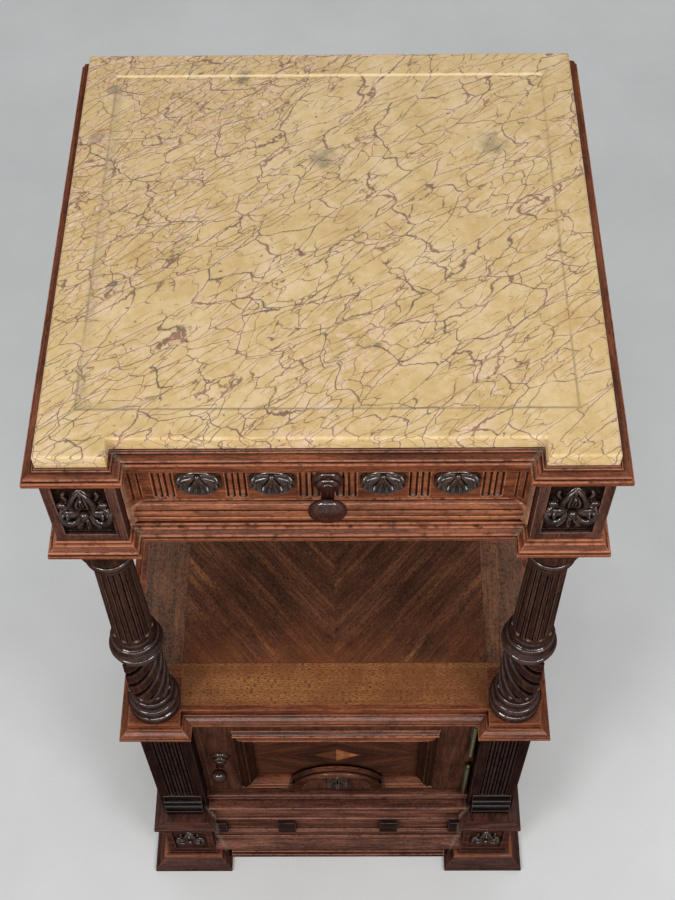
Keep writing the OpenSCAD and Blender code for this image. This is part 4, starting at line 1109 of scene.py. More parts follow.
def half_round(r, z0, z1, out, count=14):
    """A bead on a turned profile, from z0 to z1 and standing out past the radius r"""
    return [
        (r + out * math.sin(math.pi * i / count), z0 + (z1 - z0) * (1 - math.cos(math.pi * i / count)) / 2)
        for i in range(count + 1)
    ]


def column_foot():
    """Square-edged plinth, two rolls, and the lower shaft that the spirals run round"""
    line = [(0, 0), (24.5, 0), (24.5, 8.6), (24.1, 9.2)]
    line += half_round(21.5, 10.4, 24, 3.5)
    line += [(20.2, 24.6), (19.6, 26), (19.6, 27.2)]
    line += half_round(19.2, 28, 37, 2.7)
    line += [(19.4, 38), (19.3, 40), (19.8, 42), (20.4, 44)]
    return line + [(20.4 - 1.8 * i / 80, 44 + (COLLAR - 9 - 44) * i / 80) for i in range(1, 81)]


def column_collar():
    """Fine rings, two reeds and a hollow between the spirals and the straight flutes"""
    line = [(19.4, COLLAR - 8.6), (20.9, COLLAR - 8.2), (20.9, COLLAR - 6.6), (20.6, COLLAR - 6)]
    line += half_round(20.8, COLLAR - 5.6, COLLAR - 1.2, 2.7, 9)
    line += [(21.3, COLLAR - 0.9)]
    line += half_round(21.7, COLLAR - 0.6, COLLAR + 4.4, 3.1, 10)
    line += [(21.9, COLLAR + 4.8), (23.2, COLLAR + 5.2), (23.4, COLLAR + 6.2)]
    line += [(23.4 - 2.6 * math.sin(math.pi * i / 12), COLLAR + 6.2 + 1.1 * i) for i in range(1, 7)]
    line += [(20.4, COLLAR + 13.2)]
    line += half_round(20.0, COLLAR + 13.6, COLLAR + 18.2, 1.9, 9)
    return line + [(19.2, COLLAR + 18.8), (19.2, COLLAR + 25), (18.6, COLLAR + 26.2), (18, COLLAR + 27.5)]


def column_shaft(foot, head):
    """The fluted shaft, tapering, with close stations where the flutes end"""
    close = [0, 1.5, 3, 4, 5, 6, 7, 8, 9, 10, 12, 15]
    length = head - foot
    between = [15 + (length - 30) * i / 14 for i in range(1, 14)]
    stations = close[1:] + between + [length - s for s in reversed(close)]
    return [(18 - 2 * s / length, foot + s) for s in stations]


def column_head(ring, height):
    """Neck ring, a bead, a hollow that spreads and a square-edged cap"""
    line = [(18.2, ring), (18.5, ring + 0.4), (18.5, ring + 2.6), (18, ring + 3.2)]
    line += half_round(18, ring + 4, ring + 12, 2.5)
    line += [(18.2, ring + 12.6), (18.2, ring + 15), (16.9, ring + 15.6)]
    for i in range(11):
        a = math.radians(7 * i)
        line.append((16.8 + 7.6 - 7.6 * math.cos(a), ring + 16 + 7.6 * math.sin(a)))
    line += [(24.2, ring + 24.4), (24.2, height - 5), (24.6, height - 4.4), (25, height - 4)]
    return line + [(25, height), (0, height)]


FLUTES = 10
SPIRALS = 8
SPIRAL_TWIST = 34.0
BEADS_UP = 48.5 * MM


def column(name, side):
    """Straight flutes over the collar, spiral ones below it, turning the other way on each side"""
    height = (COLUMN_HIGH.z - COLUMN_LOW.z) / MM
    foot, ring = COLLAR + 27.5, height - RING_UNDER_HEAD
    head = ring - 0.6
    profile = column_foot() + column_collar() + column_shaft(foot, head) + column_head(ring, height)
    centre = Vector((side * AXIS_X, AXIS_Y, SHELF_TOP))
    mesh = turned([(r * MM, z * MM) for r, z in profile], centre, sides=336)
    mesh = shape_by(
        FLUTING, mesh, Axis=centre, Flutes=float(FLUTES), Share=0.74, Depth=1.7 * MM, Rod=1.5 * MM, Twist=0.0,
        Foot=(foot + 4) * MM, Head=(head - 1) * MM, End=3 * MM, Finish=COLUMN_WOOD,
    )
    mesh = shape_by(
        FLUTING, mesh, Axis=centre, Flutes=float(SPIRALS), Share=0.36, Depth=2.0 * MM, Rod=0.0,
        Twist=side * SPIRAL_TWIST, Foot=45.5 * MM, Head=128 * MM, End=3 * MM, Finish=COLUMN_WOOD,
    )
    for polygon in mesh.polygons:
        polygon.use_smooth = True
    mesh.set_sharp_from_angle(angle=math.radians(42))
    lay_grain(mesh, "Z", 0.4 + side)
    piece(f"column_turned_{name}", mesh, COLUMN_WOOD, "carcass", [f"column_{name}"])

    def on_shaft(radius, a, z):
        return centre + Vector((radius * math.cos(a), radius * math.sin(a), z))
    stops = [on_shaft(16.6 * MM, a, (foot + 5.6) * MM) for a in round_angles(FLUTES)]
    lead = math.pi / SPIRALS - side * SPIRAL_TWIST * BEADS_UP
    stops += [on_shaft(19.3 * MM, a + lead, BEADS_UP) for a in round_angles(SPIRALS)]
    bead_stops(f"column_bead_stops_{name}", stops, 2.2 * MM, "carcass")


# ---- knobs ----

def knob_profile(r, out, flange, neck, plump):
    """Flange, ring, waist and flattened ball, in metres, rising from the face"""
    ball = r * plump
    shoulder = out - ball
    line = [(0.0, 0.0), (flange, 0.0), (flange, 1.6 * MM), (flange * 0.93, 2.8 * MM)]
    line += spline([
        (flange * 0.84, 3.4 * MM), (flange * 0.7, 4.2 * MM), (flange * 0.76, 5.4 * MM),
        (flange * 0.68, 6.8 * MM), (neck * 1.05, 8.6 * MM), (neck * 0.92, shoulder * 0.72),
        (neck * 1.02, shoulder - 0.8 * MM),
    ], 6)
    line += [(neck * 1.3, shoulder), (neck * 1.32, shoulder + 0.8 * MM), (neck * 1.12, shoulder + 1.4 * MM)]
    for i in range(1, 24):
        a = math.radians(-64 + 154 * i / 24)
        line.append((r * math.cos(a), out - ball / 2 + ball / 2 * math.sin(a)))
    return line + [(0.0, out)]


def drawer_knob():
    """The drawer's knob on its shank; its ball ends short of the solid's, as the real one does"""
    low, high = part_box("drawer_knob")
    centre = Vector(((low.x + high.x) / 2, FRIEZE_Y, (low.z + high.z) / 2))
    radius = (high.x - low.x) / 2
    out = FRIEZE_Y - low.y - radius * 0.36
    shank_r, shank_deep = 3 * MM, 19.9 * MM
    shank = [(0, -shank_deep), (shank_r, -shank_deep), (shank_r, 0), (0, 0)]
    mesh = merged([
        turned(knob_profile(radius, out, radius * 0.82, radius * 0.36, 0.85), centre, "-Y"),
        turned(shank, centre, "-Y", 32),
    ])
    lay_grain(mesh, "Y", 0.9)
    piece("drawer_knob_turned", mesh, KNOB_WOOD, "drawer", ["drawer_knob"])


def door_knob():
    """The door's knob, one with the spindle and tongue of the latch behind it"""
    low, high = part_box("latch_knob")
    radius, flange = 8.8 * MM, (high.x - low.x) / 2
    face_y = DOOR_Y - 0.3 * MM
    pivot = next(j for j in frame["joints"] if j["name"] == "latch_turn")["pos_m"]
    centre = Vector((pivot[0], face_y, pivot[2]))
    knob = turned(knob_profile(radius, face_y - low.y, flange, radius * 0.5, 1.7), centre, "-Y")
    mesh = merged([knob, eased(cut_behind("latch_knob", face_y), 0.3 * MM)])
    lay_grain(mesh, "Y", 2.9)
    piece("door_knob_and_latch", mesh, KNOB_WOOD, "latch", ["latch_knob"])


def cut_behind(node, face_y):
    """The part of a solid that lies behind a plane, closed there"""
    mesh = clean_solid(node)
    bm = bmesh.new()
    bm.from_mesh(mesh)
    cut = bmesh.ops.bisect_plane(
        bm, geom=bm.verts[:] + bm.edges[:] + bm.faces[:], plane_co=(0, face_y + 0.05 * MM, 0),
        plane_no=(0, -1, 0), clear_outer=True,
    )
    edges = [e for e in cut["geom_cut"] if isinstance(e, bmesh.types.BMEdge)]
    bmesh.ops.contextual_create(bm, geom=edges)
    bmesh.ops.recalc_face_normals(bm, faces=bm.faces)
    bm.to_mesh(mesh)
    bm.free()
    return mesh


# ---- mouldings ----

def case_plan(inward, end_y):
    """Plan of a moulding that breaks forward over the corner blocks, left end to right end"""
    side, inner, low = HALF_WIDTH - inward, INNER_X + inward, FRONT + inward
    return [
        (-side, end_y), (-side, low), (-inner, low), (-inner, low + RECESS),
        (inner, low + RECESS), (inner, low), (side, low), (side, end_y),
    ]


def mitred_run(profile, base_z, end_y):
    """A closed profile, (how far it stands back, height), carried round the front of the case"""
    rows = [[(x, y, base_z + z) for x, y in case_plan(back, end_y)] for back, z in profile]
    return skin(list(zip(*rows)), 30)


def run_across(profile, half):
    """A level run of a profile given as (how far it stands forward, height), from -half to half"""
    return skin([[(x, -forward, z) for forward, z in profile] for x in (-half, half)], 30)


def plain_block(low, high):
    """A sawn board between two corners, its edges lightly eased"""
    bm = bmesh.new()
    bmesh.ops.create_cube(bm, size=1.0)
    for v in bm.verts:
        v.co = Vector([low[k] + (high[k] - low[k]) * (v.co[k] + 0.5) for k in range(3)])
    bmesh.ops.bevel(bm, geom=bm.edges[:], offset=0.4 * MM, segments=2, affect="EDGES")
    mesh = bpy.data.meshes.new("board")
    bm.to_mesh(mesh)
    bm.free()
    return mesh


CORNICE_CURVE = [
    (25, 0), (1.2, 0), (0.4, 0.25), (0, 0.9), (0, 4.7), (0.25, 5.3), (0.9, 5.6), (1.9, 5.6),
    (2.2, 5.7), (2.4, 6.0), (2.4, 6.5), (2.0, 6.8), (2.15, 7.4), (2.6, 7.9), (3.3, 8.3), (4.2, 8.6),
    (5.2, 8.75), (6.2, 8.8), (7.0, 8.95), (7.5, 9.3), (7.7, 9.8), (8.0, 10.1), (8.6, 10.2), (9.1, 10.3),
    (9.4, 10.6), (9.5, 11.1), (25, 11.1),
]


def cornice():
    """The cornice: a flat lip, a quirk, an ogee and a fillet under the marble"""
    profile = [(back * MM, height * MM) for back, height in CORNICE_CURVE]
    run = mitred_run(profile, CORNICE_LOW.z, CORNICE_HIGH.y)
    inner, end_y = HALF_WIDTH - 24 * MM, CORNICE_HIGH.y
    board = plain_block((-inner, end_y - 45 * MM, CORNICE_LOW.z), (inner, end_y, CORNICE_HIGH.z))
    mesh = lay_grain(merged([run, board]), run_by_normal, 1.31)
    return piece("cornice_moulded", mesh, WALNUT, "carcass", ["cornice"])


def case_beads():
    """Two fine beads run along the moulding under the drawer"""
    low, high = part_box("case_moulding")
    runs = []
    for back, below_top, radius in ((5.7, 4.0, 1.05), (1.9, 8.6, 0.9)):
        profile = [
            ((back + radius * math.cos(a)) * MM, high.z - low.z + (radius * math.sin(a) - below_top) * MM)
            for a in round_angles(12)
        ]
        runs.append(mitred_run(profile, low.z, high.y))
    mesh = lay_grain(merged(runs), run_by_normal, 3.3)
    return piece("case_moulding_beads", mesh, WALNUT, "carcass")


def foot_rolls():
    """A roll round the head of each front foot's flare"""
    radius, inward, rise = 3.4 * MM, 14.0 * MM, 18.2 * MM
    runs = []
    for name in SIDES:
        low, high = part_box(f"front_foot_{name}")
        end_y = high.y - 1 * MM
        rows = []
        for a in round_angles(16):
            step, z = inward + radius * math.cos(a), low.z + rise + radius * math.sin(a)
            left, right, front = low.x + step, high.x - step, low.y + step
            rows.append([(left, end_y, z), (left, front, z), (right, front, z), (right, end_y, z)])
        runs.append(skin(list(zip(*rows)), 30))
    mesh = lay_grain(merged(runs), run_by_normal, 4.1)
    return piece("foot_rolls", mesh, WALNUT, "carcass")


def scroll(points, radii, flat=1.0, sides=12):
    """A rounded ridge along a line of points (right, up, out), its half width from radii"""
    line = spline([tuple(p) + (r,) for p, r in zip(points, radii)], 7)
    rings = []
    for k, (x, y, z, r) in enumerate(line):
        before, after = line[max(0, k - 1)], line[min(len(line) - 1, k + 1)]
        way = Vector((after[0] - before[0], after[1] - before[1])).normalized()
        rings.append([
            (x + way.y * r * math.cos(a), y - way.x * r * math.cos(a), z + r * flat * math.sin(a))
            for a in round_angles(sides)
        ])
    return skin(rings, 70)


def ruled_bead(points, radius, lift):
    """A thin bead along a line with mitred corners, its middle lifted off the face"""
    points = [Vector(p) for p in points]
    ways = [(b - a).normalized() for a, b in zip(points, points[1:])]
    rings = []
    for here, into, out in zip(points, ways[:1] + ways, ways + ways[-1:]):
        mean = (into + out).normalized()
        side = Vector((mean.y, -mean.x)) / mean.dot(out)
        rings.append([
            (*(here + side * radius * math.cos(a)), lift + radius * math.sin(a)) for a in round_angles(12)
        ])
    return skin(rings, 70)


def panel_moulding():
    """Moulding round the door's panel, with two fine lines; its arch is rounded over"""
    low, high = MOULDING_LOW, MOULDING_HIGH
    face_y = DOOR_Y - 7.2 * MM
    lines = []
    for reach, size, flat in ((ARCH_R, 5.4, 0.6), (ARCH_R - 6.8 * MM, 1.0, 1.0)):
        turns = [math.radians(4 + 172 * k / 14) for k in range(15)]
        arch = [(reach * math.cos(a), ARCH_MIDDLE_Z + reach * math.sin(a), 0) for a in turns]
        lines.append(scroll(arch, [size * MM] * len(arch), flat, 20))
    beside_arch = ARCH_R + 4 * MM
    for inset, radius, lift in ((2.0, 0.95, 5.8), (12.4, 0.9, 6.2)):
        right, foot, head = high.x - inset * MM, low.z + inset * MM, high.z - inset * MM
        half = [(beside_arch, foot), (right, foot), (right, head)]
        line = half + [(-x, z) for x, z in reversed(half)]
        lines.append(ruled_bead(line, radius * MM, lift * MM - (DOOR_Y - face_y)))
    solid = eased(clean_solid("panel_moulding"), 0.45 * MM, 20)
    mesh = merged([solid] + [placed(line, facing(0, face_y, 0)) for line in lines])
    lay_grain(mesh, run_round_panel, 1.9)
    return piece("panel_moulding_worked", mesh, DOOR_MOULDING, "door", ["panel_moulding"])


# ---- drawer front and lower posts ----

def steps(low, high, gap):
    count = max(1, round((high - low) / gap))
    return [low + (high - low) * i / count for i in range(count + 1)]


def carved_face(xs, zs, depth_at, front_y, back_y):
    """A board whose face is carved: depth_at(x, z) is how far it stands back from front_y"""
    wide = len(xs)
    verts = [(x, front_y + depth_at(x, z), z) for z in zs for x in xs]
    faces = [
        (a, a + 1, a + wide + 1, a + wide)
        for row in range(0, (len(zs) - 1) * wide, wide) for a in range(row, row + wide - 1)
    ]
    ring, base = edge_ring(wide, len(zs)), len(verts)
    verts += [(verts[i][0], back_y, verts[i][2]) for i in ring]
    back = list(range(base, len(verts)))
    turn = ring[1:] + ring[:1]
    faces += [(b, a, c, d) for a, b, c, d in zip(ring, turn, back, back[1:] + back[:1])]
    return closed_mesh(verts, faces + [tuple(back)])


def edge_ring(wide, tall):
    """The places of the points along the edge of a grid, once round"""
    last = (tall - 1) * wide
    ring = list(range(wide)) + [r * wide + wide - 1 for r in range(1, tall)]
    return ring + list(range(last + wide - 2, last - 1, -1)) + [r * wide for r in range(tall - 2, 0, -1)]


def cabled_flute(across, above_foot, radius, depth, rod):
    """Depth of a round-footed flute with a rod lying in it"""
    off = math.hypot(across, min(0.0, above_foot))
    groove = depth * math.sqrt(max(0.0, 1 - (off / radius) ** 2))
    off = math.hypot(across, min(0.0, above_foot - 0.4 * MM))
    if off < rod:
        return min(groove, 0.3 * MM + rod - math.sqrt(rod ** 2 - off ** 2))
    return groove


FRIEZE_FLUTES = [
    side * (place * FRIEZE_PITCH + half * 8.6 * MM)
    for place in (0.5, 2.5, 4.5) for half in (-0.5, 0.5) for side in (-1, 1)
]

# Profiles on the drawer's face, in millimetres: how far forward, and how far under the drawer's top
DRAWER_ROUNDS = [
    (0, 59.0), (0.7, 59.0), (0.9, 59.4), (0.9, 59.9), (1.6, 59.9), (2.9, 60.3), (4.1, 61.2), (5.0, 62.5),
    (5.5, 64.2), (5.5, 65.6), (5.1, 66.8), (4.4, 67.4), (4.4, 67.8), (5.4, 67.8), (6.3, 68.3), (6.9, 69.4),
    (7.1, 70.8), (6.9, 72.4), (6.3, 73.6), (5.4, 74.2), (4.6, 74.2), (4.6, 75.6), (5.9, 75.6), (6.2, 75.9),
    (6.2, 77.8), (5.9, 78.1), (5.0, 78.2), (4.5, 79.4), (4.4, 82.4), (4.0, 83.8), (-2, 83.8), (-2, 59.0),
]
TOP_STRIP = [
    (-2, 15.6), (4.4, 15.6), (5.2, 15.2), (5.5, 14.4), (5.5, 1.2), (5.2, 0.4), (4.6, 0.1), (-2, 0.1),
]


def frieze_depth(x, z):
    """How far the drawer's face stands back from the frieze: flutes sink, the coved ends come forward"""
    out = abs(x) - FRIEZE_HALF
    if out > 0:
        depth = math.sqrt(COVE_R ** 2 - out ** 2) - COVE_R
        for a in (18, 32):
            off = math.hypot(out - COVE_R * math.sin(math.radians(a)), min(0.0, z - FLUTE_FOOT_Z))
            depth += 0.5 * MM * math.sqrt(max(0.0, 1 - (off / (0.9 * MM)) ** 2))
        return depth
    return cabled_depth(x, z - FLUTE_FOOT_Z, FRIEZE_FLUTES, 3.3 * MM, 1.9 * MM, 2.4 * MM)


def cabled_depth(x, above_foot, flutes, radius, depth, rod):
    """Depth of a face with several cabled flutes"""
    near = [x - flute for flute in flutes if abs(x - flute) < radius + 0.7 * MM]
    return max((cabled_flute(across, above_foot, radius, depth, rod) for across in near), default=0.0)


def drawer_front():
    """Drawer front: fluted frieze with coved ends, a strip along its top and rounds along its foot"""
    half, top = DRAWER_HIGH.x, DRAWER_HIGH.z
    heights = [DRAWER_LOW.z + 0.1 * MM, DRAWER_LOW.z + 20 * MM]
    heights += steps(FLUTE_FOOT_Z - 4 * MM, FLUTE_FOOT_Z + 4 * MM, 0.5 * MM) + [top - 12 * MM, top]
    parts = [carved_face(steps(-half, half, 0.45 * MM), heights, frieze_depth, FRIEZE_Y, DRAWER_HIGH.y)]
    for profile, reach in ((DRAWER_ROUNDS, half - 2.5 * MM), (TOP_STRIP, half - 3 * MM)):
        run = run_across([(forward * MM, top - under * MM) for forward, under in profile], reach)
        parts.append(placed(run, moved(0, FRIEZE_Y, 0)))
    mesh = lay_grain(merged(parts), "X", 2.17)
    stops = [(flute, FRIEZE_Y + 0.5 * MM, FLUTE_FOOT_Z - 0.4 * MM) for flute in FRIEZE_FLUTES]
    bead_stops("drawer_flute_stops", stops, 1.9 * MM, "drawer")
    return piece("drawer_front_moulded", mesh, DRAWER_WOOD, "drawer", ["drawer_front"])


def fluted_post(name, side):
    """Lower post with four cabled flutes on its face"""
    low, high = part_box(f"front_post_{name}")
    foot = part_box(f"post_base_{name}")[1].z + 2.6 * MM
    flutes = [side * AXIS_X + k * 7.6 * MM for k in (-1.5, -0.5, 0.5, 1.5)]

    def depth(x, z):
        return cabled_depth(x, z - foot, flutes, 3.1 * MM, 2.4 * MM, 1.7 * MM)
    heights = [low.z] + steps(foot - 3.6 * MM, foot + 3.6 * MM, 0.4 * MM) + [high.z]
    mesh = carved_face(steps(low.x, high.x, 0.4 * MM), heights, depth, low.y, high.y)
    lay_grain(mesh, "Z", 3.3 + side)
    return piece(f"front_post_fluted_{name}", mesh, POST_WOOD, "carcass", [f"front_post_{name}"])


# ---- carvings ----

def leaf_mesh(length, width, relief, hood=0.5, groove=0.3, ribs=2, rim=0.0):
    """One carved leaf lying on the plane, its foot at the origin and its tip along +Y.

    hood lifts its tip, groove sinks its midrib, ribs fan along it and rim hollows it inside a
    raised edge.
    """
    n_along, wide = 26, 21
    verts = []
    for i in range(n_along + 1):
        u = i / n_along
        half = width * 0.02
        if 0 < i < n_along:
            half = width / 2 * math.sin(math.pi * (0.05 + 0.95 * u) ** 1.25) ** 0.6
        spine = relief * (0.35 + 0.4 * math.sin(math.pi * 0.85 * u))
        spine += relief * hood * math.exp(-((u - 0.84) / 0.13) ** 2)
        spine *= min(1.0, 7 * (1 - u) + 0.04) ** 0.5
        for j in range(wide):
            v = -1 + 2 * j / (wide - 1)
            height = spine * max(0.0, 1 - v * v) ** 0.42
            height -= relief * groove * math.exp(-(v / 0.14) ** 2) * math.sin(math.pi * min(1.0, 0.1 + u))
            height -= spine * rim * math.exp(-((abs(v) - 0.38) / 0.24) ** 2) * math.sin(math.pi * u) ** 0.5
            ribbed = (1 - math.cos(2 * math.pi * ribs * v)) * math.sin(math.pi * u) * (1 - v * v)
            height -= relief * 0.09 * ribbed
            verts.append((v * half, u * length, -1 * MM if j in (0, wide - 1) else max(height, -0.8 * MM)))
    faces = [
        (a, a + 1, a + wide + 1, a + wide)
        for row in range(0, n_along * wide, wide) for a in range(row, row + wide - 1)
    ]
    base = len(verts)
    verts += [(x, y, -1.6 * MM) for x, y, _ in verts]
    faces += [tuple(base + k for k in reversed(face)) for face in faces]
    ring = edge_ring(wide, n_along + 1)
    faces += [(b, a, a + base, b + base) for a, b in zip(ring, ring[1:] + ring[:1])]
    return closed_mesh(verts, faces, 60)


def bead(radius, at):
    """A small ball, its poles closed"""
    angles = [math.radians(a) for a in range(-80, 81, 10)]
    arc = [(radius * math.cos(a), radius * math.sin(a)) for a in angles]
    return turned([(0.0, -radius)] + arc + [(0.0, radius)], Vector(at), sides=24)


def mirrored(mesh):
    """The same mesh on the other side of the middle"""
    twin = mesh.copy()
    twin.transform(Matrix.Scale(-1, 4, (1, 0, 0)))
    twin.flip_normals()
    return twin


def dish(radius, height):
    """The dark ground of a rosette, full above and drawn in below, where the leaf tips hang free"""
    levels = [
        (0.0, 0.3), (0.5, 0.32), (0.8, 0.45), (0.9, 0.94), (0.95, 1.0), (0.985, 0.9), (1.0, 0.7), (1.0, -0.2),
    ]
    rings = []
    for share, level in levels:
        ring = []
        for a in round_angles(72):
            reach = radius * share * (1.0 - 0.12 * max(0.0, -math.sin(a)) ** 0.7)
            ring.append((reach * math.cos(a), reach * math.sin(a), height * level))
        rings.append(ring)
    return skin(rings, 50)


def hanging_rosette(radius, relief):
    """Leaves that spring from the top of a round ground and hang down, their tips curled forward"""
    stand = relief * 0.26
    curled = leaf_mesh(radius * 1.24, radius * 0.72, relief * 0.56, 0.8, 0.5, 0)
    outer = leaf_mesh(radius * 1.1, radius * 0.5, relief * 0.5, 0.6, 0.4, 0)
    tip = leaf_mesh(radius * 1.6, radius * 0.3, relief * 0.44, 0.9, 0.2, 0)
    drop = moved(0, radius * 0.76, stand) @ turned_in_plane(180)
    over = moved(0, radius * 0.70, stand + relief * 0.08) @ turned_in_plane(180)
    boss = bead(radius * 0.15, (0, radius * 0.68, stand + relief * 0.36))
    return merged([
        dish(radius, relief * 0.6), boss, placed(fan(curled, 2, 56), over), placed(fan(outer, 2, 134), over),
        placed(fan(tip, 2, 15), drop), placed(fan(tip, 2, 84, 0.92), drop),
    ])


def drawer_rosettes():
    """Four hanging rosettes, two on each side of the knob"""
    relief = FRIEZE_Y - ROSETTES_LOW.y
    mesh = merged([
        placed(hanging_rosette(ROSETTE_R, relief), facing(k * FRIEZE_PITCH, FRIEZE_Y, ROSETTE_Z - 1.2 * MM))
        for k in (-3.5, -1.5, 1.5, 3.5)
    ])
    return piece("drawer_leaf_rosettes", mesh, CARVED, "drawer", ["drawer_rosettes"])


def palmette(radius, relief):
    """A pointed loop leaf upright over a bead, a rimmed shell leaf to each side, curls between"""
    def ridge(points, sizes, flat=1.0):
        line = [(x * radius, y * radius, z * relief) for x, y, z in points]
        return scroll(line, [size * radius for size in sizes], flat)

    def lobe(length, width, height, x, y, turn, **form):
        mesh = leaf_mesh(length * radius, width * radius, height * relief, **form)
        return placed(mesh, moved(x * radius, y * radius, 0) @ turned_in_plane(turn))
    spoon = {"hood": 0.3, "groove": 0.2, "ribs": 0, "rim": 0.5}
    half = [
        lobe(0.98, 0.72, 0.62, -0.10, -0.04, 100, **spoon),
        lobe(0.92, 0.56, 0.5, -0.12, 0.08, 58, **spoon),
        lobe(0.84, 0.5, 0.45, -0.08, -0.22, 140, **spoon),
        ridge(
            [(-0.10, 0.02, 0.25), (-0.36, 0.26, 0.40), (-0.44, 0.62, 0.45), (-0.28, 0.98, 0.40),
             (0.0, 1.26, 0.20)],
            [0.05, 0.10, 0.13, 0.10, 0.04], 1.15,
        ),
        ridge(
            [(-0.05, 0.18, 0.25), (-0.20, 0.42, 0.40), (-0.19, 0.70, 0.40), (-0.02, 0.98, 0.15)],
            [0.03, 0.06, 0.07, 0.03], 1.5,
        ),
        ridge(
            [(-0.16, -0.16, 0.2), (-0.42, -0.52, 0.40), (-0.76, -0.54, 0.45), (-0.97, -0.20, 0.40),
             (-0.90, 0.14, 0.15)],
            [0.05, 0.11, 0.15, 0.12, 0.04], 1.1,
        ),
        ridge(
            [(-0.14, 0.0, 0.25), (-0.42, 0.12, 0.40), (-0.70, 0.12, 0.40), (-0.86, -0.02, 0.2)],
            [0.04, 0.08, 0.09, 0.04], 1.1,
        ),
        lobe(0.66, 0.44, 0.72, -0.16, -0.08, 104, hood=0.35, groove=0.12, ribs=1),
        ridge(
            [(-0.22, 0.20, 0.2), (-0.48, 0.36, 0.35), (-0.74, 0.56, 0.40), (-0.90, 0.50, 0.35)],
            [0.05, 0.09, 0.12, 0.14],
        ),
        ridge(
            [(-0.26, 0.56, 0.1), (-0.50, 0.78, 0.25), (-0.66, 1.02, 0.25), (-0.60, 1.16, 0.15)],
            [0.03, 0.06, 0.07, 0.06], 1.1,
        ),
        lobe(0.62, 0.26, 0.35, -0.10, -0.30, 146, hood=0.5, groove=0.3, ribs=0),
        ridge(
            [(-0.10, -0.34, 0.1), (-0.22, -0.74, 0.2), (-0.42, -1.02, 0.2), (-0.34, -1.16, 0.1)],
            [0.03, 0.05, 0.06, 0.05], 1.1,
        ),
    ]
    middle = [
        lobe(1.3, 0.98, 0.5, 0.0, 0.02, 0, **spoon),
        lobe(0.9, 0.34, 0.8, 0.0, 0.12, 0, hood=0.2, groove=0.35, ribs=0),
        bead(radius * 0.2, (0, 0.0, relief * 0.56)),
        bead(radius * 0.1, (0, -radius * 0.56, relief * 0.22)),
        lobe(0.5, 0.22, 0.4, 0.0, -0.62, 180, hood=0.4, groove=0.3, ribs=0),
    ]
    return merged(half + [mirrored(mesh) for mesh in half] + middle)


def pair_of_palmettes(node, name, radius, middle_z, stretch=1.0):
    """A palmette on each side, against the face that carries the solid's own pair"""
    low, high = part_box(node)
    tall = Matrix.Scale(stretch, 4, (0, 1, 0))
    mesh = merged([
        placed(palmette(radius, high.y - low.y), facing(side * AXIS_X, high.y, middle_z) @ tall)
        for side in SIDES.values()
    ])
    return piece(name, mesh, CARVED, "carcass", [node])


def corner_palmettes():
    """Palmettes in the sunk panels beside the drawer"""
    block_low, block_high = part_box("corner_block_right")
    middle_z = (block_low.z + block_high.z) / 2 - 5 * MM
    return pair_of_palmettes("palmettes", "corner_palmettes", 18.6 * MM, middle_z, 1.15)


def foot_leaves():
    """Low palmettes in the sunk panels of the front feet"""
    low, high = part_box("foot_rosettes")
    radius = (high.z - low.z) / 2 * 1.16
    return pair_of_palmettes("foot_rosettes", "foot_leaf_carvings", radius, (low.z + high.z) / 2)


def arch_shell():
    """Lobes that hang under the arch of the door, with a wing spreading to each side"""
    low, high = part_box("door_shell")
    tall, wide, relief = high.z - low.z, high.x - low.x, high.y - low.y
    lobe = leaf_mesh(tall * 0.98, wide * 0.26, relief * 0.7, 0.7, 0.35, 1)
    wing = leaf_mesh(wide * 0.50, tall * 0.46, relief * 0.4, 0.1, 0.3, 2)
    mesh = merged([
        placed(fan(lobe, 3, 48, 0.92), moved(0, tall * 0.46, 0) @ turned_in_plane(180)),
        placed(fan(wing, 2, 148), moved(0, tall * 0.26, 0) @ turned_in_plane(180)),
        bead(relief * 0.2, (0, tall * 0.42, relief * 0.4)),
    ])
    placed(mesh, facing((low.x + high.x) / 2, high.y, (low.z + high.z) / 2, 1.22))
    return piece("arch_shell_carving", mesh, CARVED, "door", ["door_shell"])


# ---- the case, from its solids ----

